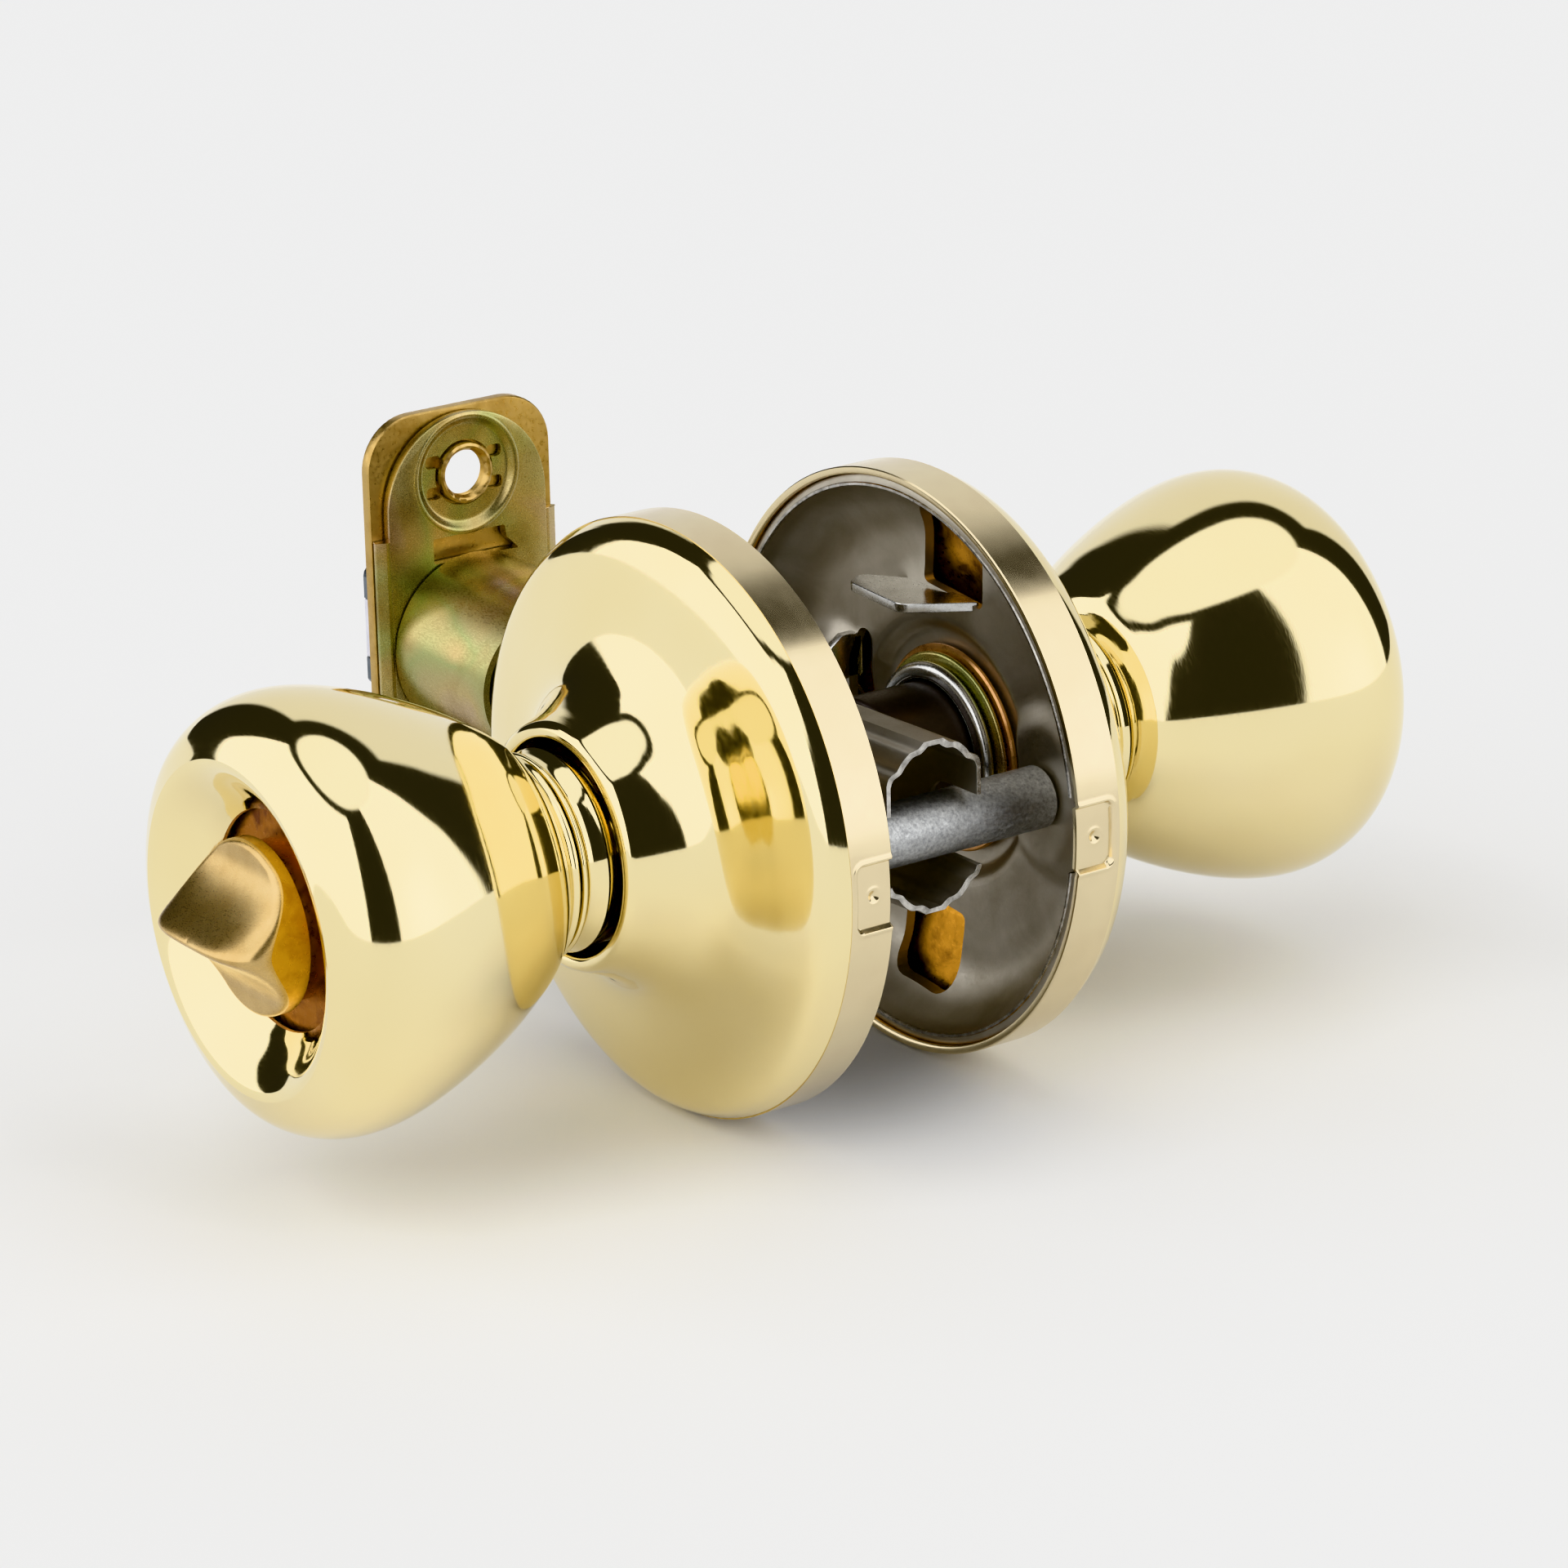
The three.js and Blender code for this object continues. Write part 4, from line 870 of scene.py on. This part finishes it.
# ---- latch backplate ----------------------------------------------------------------------------
BACK_GAP, BACK_THICK = 1.8, 1.2  # behind the faceplate's front, and its sheet
BACK_ARCH_Z, BACK_ARCH = 17.1, 11.0
COLLAR_HOLE = 4.0
LOBE_PLACE, LOBE_HALF = (4.25, 1.9), (1.0, 0.75)
LOBE_CORNER = 0.5
DISH_RECESS = 7.2
DISH = [(5.5, -0.62), (5.95, -0.56), (6.35, -0.3), (6.75, 0.02), (7.1, 0.1), (7.4, -0.02)]
BOLT_MOUTH = [(-5.0, 10.3), (5.0, 10.3), (6.9, 10.2), (5.2, 11.9), (5.0, 13.4), (-5.0, 13.4)]
MOUTH_CORNERS = [0.25, 0.1, 0.1, 0.2, 0.3, 0.3]
WING_HALF_HIGH = 14.2
SWAP_XY = Matrix(((0, 1, 0, 0), (1, 0, 0, 0), (0, 0, 1, 0), (0, 0, 0, 1)))


def collar_lobes(z, start, end):
    """Cutters for the hole round a screw collar and the four notches beside it."""
    tools = [extrude(disc((0, z), COLLAR_HOLE, 30), start, end)]
    across, up = LOBE_PLACE
    wide, high = LOBE_HALF
    for y, dz in ((across, up), (across, -up), (-across, up), (-across, -up)):
        lobe = oblong(y - wide, z + dz - high, y + wide, z + dz + high)
        tools.append(extrude(rounded(lobe, LOBE_CORNER, 3), start, end))
    return tools


def backplate():
    near = FACE_X + BACK_GAP
    far = near + BACK_THICK
    outline = [*arc((0, BACK_ARCH_Z), BACK_ARCH, 0, 180, 32),
               *arc((0, -BACK_ARCH_Z), BACK_ARCH, 180, 360, 32)]
    bm = soften(extrude(outline, near, far), 0.22, 2, 60)
    tools = [extrude(bolt_outline(BOLT_GAP), near - 1, far + 1)]
    for sign in (1, -1):
        z = sign * FACE_HOLE_Z
        tools.append(extrude(disc((0, z), DISH_RECESS, 60), far - 0.9, far + 2))
        tools += collar_lobes(z, near - 1, far + 2)
        mouth = [(y, sign * up) for y, up in rounded(BOLT_MOUTH, MOUTH_CORNERS, 2)]
        tools.append(extrude(mouth, near - 1, far + 2))
    piece("backplate", carve(bm, *tools), "dichromate_steel", "chassis",
          ["latch_backplate"])
    for name, z in (("upper", FACE_HOLE_Z), ("lower", -FACE_HOLE_Z)):
        dish = revolve([
            (4.0, far - 1.1), (4.0, far - 0.62), *curve([(r, far + rise) for r, rise in DISH], 5),
            (7.4, far - 0.1), (7.15, far - 0.12), (7.15, far - 1.1),
        ], RING)
        dish = carve(along_x(dish, z), *collar_lobes(z, far - 2, far + 1))
        piece(f"backplate_dish_{name}", dish, "dichromate_steel", "chassis")
    for name, sign in (("left", -1), ("right", 1)):
        wing = rounded([(10.4 * sign, far - 0.02), (11.4 * sign, far - 0.1),
                        (12.6 * sign, near + 0.55), (12.6 * sign, near),
                        (10.4 * sign, near)][::sign], 0.2, 3)
        bm = extrude([(y, x) for y, x in wing], -WING_HALF_HIGH, WING_HALF_HIGH, "Z")
        bm.transform(SWAP_XY)
        piece(f"backplate_wing_{name}", soften(bm, 0.12, 2, 60), "dichromate_steel", "chassis")


# ---- latch tube and case ------------------------------------------------------------------------
BARREL, BARREL_BORE = 11.0, 10.2
BARREL_LIP = 26.0  # radius of the curve that its inner end is cut to
LIP_BACK = 3.6
BARREL_SPOKES = 128
BARREL_ROWS = [0.0, 0.02, 0.3, 0.6, 0.85, 0.97, 1.0]  # shares of its length

CASE_QUARTER = [  # a quarter of the case's wavy cross-section, as (y, z) points
    (1.3, 9.75), (2.2, 9.1), (3.3, 8.85), (4.3, 8.0), (4.9, 7.25), (5.9, 6.75), (6.3, 5.9),
]
CASE_WALL = 0.55
CASE_LIFT, CASE_LEAN = 1.7, 0.4  # the case leans up and aside towards its open end
CASE_MOUTH = (15.0, -4.0, 26.0, 4.0)
POST_CLEARANCE, SPINDLE_CLEARANCE = 3.9, 5.9
THROUGH = (-13, 13)


def barrel_end(a):
    """How far along the tube's inner end is at an angle round it."""
    z = BARREL * math.sin(a)
    across = abs(BARREL * math.cos(a))
    cut = TUBE_END + BARREL_LIP - LIP_BACK - math.sqrt(BARREL_LIP * BARREL_LIP - z * z)
    return TUBE_END + (cut - TUBE_END) * ease((across - 3.0) / 2.0)


def latch_tube():
    """A plain tube whose inner end is cut to a curved lip on both sides."""
    bm = bmesh.new()
    turns = [2 * math.pi * k / BARREL_SPOKES for k in range(BARREL_SPOKES)]
    rows = []
    for r, shares in ((BARREL, BARREL_ROWS), (BARREL_BORE, BARREL_ROWS[::-1])):
        for share in shares:
            row = []
            for a in turns:
                x = TUBE_START + (barrel_end(a) - TUBE_START) * share
                row.append(bm.verts.new((x, r * math.cos(a), r * math.sin(a))))
            rows.append(row)
    for first, second in zip(rows, [*rows[1:], rows[0]]):
        for k in range(BARREL_SPOKES):
            n = (k + 1) % BARREL_SPOKES
            bm.faces.new((first[k], first[n], second[n], second[k]))
    soften(bm, 0.22, 3, 50)
    slot = extrude(rounded(oblong(-1.1, -0.45, 1.1, 0.45), 0.4, 4), 9.0, 12.5, "Z")
    slot.transform(Matrix.Translation((TUBE_END - 6.2, 2.4, 0)))
    piece("latch_barrel", carve(bm, slot), "dichromate_steel", "chassis",
          ["latch_tube"])


def case_outline(shrink):
    """The case's wavy cross-section, or its inside face, as (y, z) points."""
    top = CASE_QUARTER[0][1]
    quarter = curve([(y - shrink, z - shrink * z / top) for y, z in CASE_QUARTER], 4)
    back = quarter[::-1]
    return [*back, *[(-y, z) for y, z in quarter], *[(-y, -z) for y, z in back],
            *[(y, -z) for y, z in quarter]]


def latch_case():
    bm = extrude(case_outline(0), CASE_START, CASE_END)
    hollow = extrude(case_outline(CASE_WALL), CASE_START - 1, CASE_END + 1)
    for v in [*bm.verts, *hollow.verts]:
        if v.co.x > 0:
            v.co.z += CASE_LIFT
            v.co.y += CASE_LEAN
    bm = carve(
        bm, hollow,
        extrude(rounded(oblong(*CASE_MOUTH), [3.0, 0.1, 0.1, 3.0]), *THROUGH, "Y"),
        extrude(disc((-POST_X, 0), POST_CLEARANCE, 24), *THROUGH, "Y"),
        extrude(disc((0, 0), SPINDLE_CLEARANCE, 36), *THROUGH, "Y"),
    )
    soften(bm, 0.10, 1, 50)
    for face in bm.faces:
        at_end = face.calc_center_median().x > CASE_END - 0.12
        if at_end and abs(face.normal.x) > 0.3:
            face.material_index = 1
    piece("case_box", bm, ["grey_steel", "cut_edge"], "chassis", ["latch_case"])


# ---- latch bolt ---------------------------------------------------------------------------------
BOLT_BACK = -56.0
BEVEL_END = -69.9
INSERT_HALF, INSERT_BACK = 3.6, -62.0
SLOT_HALF, SLOT_BACK = 3.75, -61.75
BEYOND = -85.0  # ahead of the bolt's tip
WIDE = 20


def bolt_plan():
    """The bolt from above, as (x, y) points: a square nose and a long curved bevel."""
    tip, side = BOLT_TIP, BOLT_HALF_WIDE
    bevel = curve([(tip, -4.6), (tip + 0.9, -2.6), (tip + 3.0, 0.6), (tip + 6.2, 4.2),
                   (BEVEL_END, side)], 6)
    return [(tip + 0.55, -side), (tip + 0.1, -7.0), (tip, -6.4), *bevel, (BOLT_BACK, side),
            (BOLT_BACK, -side)]


def latch_bolt():
    section = extrude(bolt_outline(0.0), -81.0, -55.0)
    solid = carve(extrude(bolt_plan(), -9.0, 9.0, "Z"), section, operation="INTERSECT")
    both = solid.copy()
    slot = extrude(oblong(BEYOND, -SLOT_HALF, SLOT_BACK, SLOT_HALF), -12, 12, "Y")
    piece("bolt_body", soften(carve(solid, slot), 0.25, 2, 30), "bolt_steel", "latch_bolt",
          ["latch_bolt"])
    around = [
        extrude(oblong(*corners), -12, 12, "Y") for corners in (
            (BEYOND, -WIDE, -50, -INSERT_HALF), (BEYOND, INSERT_HALF, -50, WIDE),
            (INSERT_BACK, -WIDE, -50, WIDE))
    ]
    piece("bolt_slide_insert", soften(carve(both, *around), 0.25, 2, 30), "grey_nylon",
          "latch_bolt", ["bolt_insert"])


# ---- CAD nodes that keep their own shape --------------------------------------------------------
CARRIED = {
    "exterior_return_spring": "bright_steel", "interior_return_spring": "bright_steel",
    "exterior_knob_core": "grey_steel", "interior_knob_core": "grey_steel",
    "interior_knob_insert": "grey_steel", "lock_bar": "grey_steel", "spindle": "dark_steel",
    "mounting_screw_near": "bright_steel", "mounting_screw_far": "bright_steel",
    "bolt_tailpiece": "grey_steel", "latch_cam": "dichromate_steel", "spring_seat": "grey_steel",
    "latch_spring": "bright_steel",
}


def carry(node, look):
    made = frame["nodes"][node]
    made.data.materials.clear()
    made.data.materials.append(LOOKS[look])


# ---- studio -------------------------------------------------------------------------------------
GROUND_Z = -0.0336  # metres
GROUND_SIZE = 3.0
GROUND_GREY = 0.83
PANELS = (  # studio panels: azimuth and elevation limits in degrees, brightness, edge softness
    (-200, 200, -20, 95, 0.03, 2.0),
    (-172, -104, -20, 52, 0.75, 2.0),
    (-62, 56, -20, 60, 1.8, 1.6),
    (92, 158, -20, 72, 1.65, 1.6),
    (104, 134, -8, 24, 2.3, 14.0),
    (-200, 200, 66, 95, 1.3, 1.6),
)
EXPOSURE = 0.25


def ground():
    mesh = bpy.data.meshes.new("floor")
    bm = bmesh.new()
    bmesh.ops.create_grid(bm, x_segments=1, y_segments=1, size=GROUND_SIZE)
    bm.to_mesh(mesh)
    bm.free()
    made = bpy.data.objects.new("floor", mesh)
    made.location.z = GROUND_Z
    material = bpy.data.materials.new("floor")
    material.use_nodes = True
    shader = material.node_tree.nodes["Principled BSDF"]
    shader.inputs["Base Color"].default_value = (GROUND_GREY, GROUND_GREY, GROUND_GREY, 1)
    shader.inputs["Roughness"].default_value = 0.8
    shader.inputs["Specular IOR Level"].default_value = 0.2
    mesh.materials.append(material)
    bpy.context.scene.collection.objects.link(made)


def world():
    """A studio of large soft panels with dark gaps for light and reflections, plain to the eye."""
    made = bpy.data.worlds.new("studio")
    made.use_nodes = True
    tree = made.node_tree

    def math_node(operation, a, b=None):
        node = tree.nodes.new("ShaderNodeMath")
        node.operation = operation
        for socket, value in zip(node.inputs, (a, b)):
            if hasattr(value, "links"):
                tree.links.new(value, socket)
            elif value is not None:
                socket.default_value = value
        return node.outputs[0]

    def step(value, edge, width):
        node = tree.nodes.new("ShaderNodeMapRange")
        node.interpolation_type = "SMOOTHSTEP"
        tree.links.new(value, node.inputs["Value"])
        node.inputs["From Min"].default_value = edge - width
        node.inputs["From Max"].default_value = edge + width
        return node.outputs["Result"]

    def between(value, low, high, width):
        return math_node("MULTIPLY", step(value, low, width),
                         math_node("SUBTRACT", 1.0, step(value, high, width)))

    place = tree.nodes.new("ShaderNodeTexCoord").outputs["Generated"]
    split = tree.nodes.new("ShaderNodeSeparateXYZ")
    tree.links.new(place, split.inputs[0])
    x, y, z = split.outputs
    azimuth = math_node("MULTIPLY", math_node("ARCTAN2", x, math_node("MULTIPLY", y, -1.0)),
                        180 / math.pi)
    elevation = math_node("MULTIPLY", math_node("ARCSINE", z), 180 / math.pi)
    level = 0.0
    for left, right, low, high, brightness, edge in PANELS:
        share = math_node("MULTIPLY", between(azimuth, left, right, edge),
                          between(elevation, low, high, edge))
        level = math_node("ADD", math_node("MULTIPLY", level, math_node("SUBTRACT", 1.0, share)),
                          math_node("MULTIPLY", share, brightness))
    seen = tree.nodes.new("ShaderNodeLightPath").outputs["Is Camera Ray"]
    plain = math_node("ADD", math_node("MULTIPLY", level, math_node("SUBTRACT", 1.0, seen)), seen)
    background = tree.nodes["Background"]
    background.inputs["Color"].default_value = (1, 1, 1, 1)
    tree.links.new(plain, background.inputs["Strength"])
    bpy.context.scene.world = made


# ---- assembly -----------------------------------------------------------------------------------
make_camera()
for half, side in HALVES:
    rose(half, side)
    mounting_plate(half, side)
    hub(half, side)
    knob(half, side)
turn_button()
for which, x in (("near", POST_X), ("far", -POST_X)):
    post(which, x)
faceplate()
backplate()
latch_tube()
latch_case()
latch_bolt()
for node, look in CARRIED.items():
    carry(node, look)

ground()
world()
bpy.context.scene.view_settings.view_transform = "Khronos PBR Neutral"
bpy.context.scene.view_settings.exposure = EXPOSURE
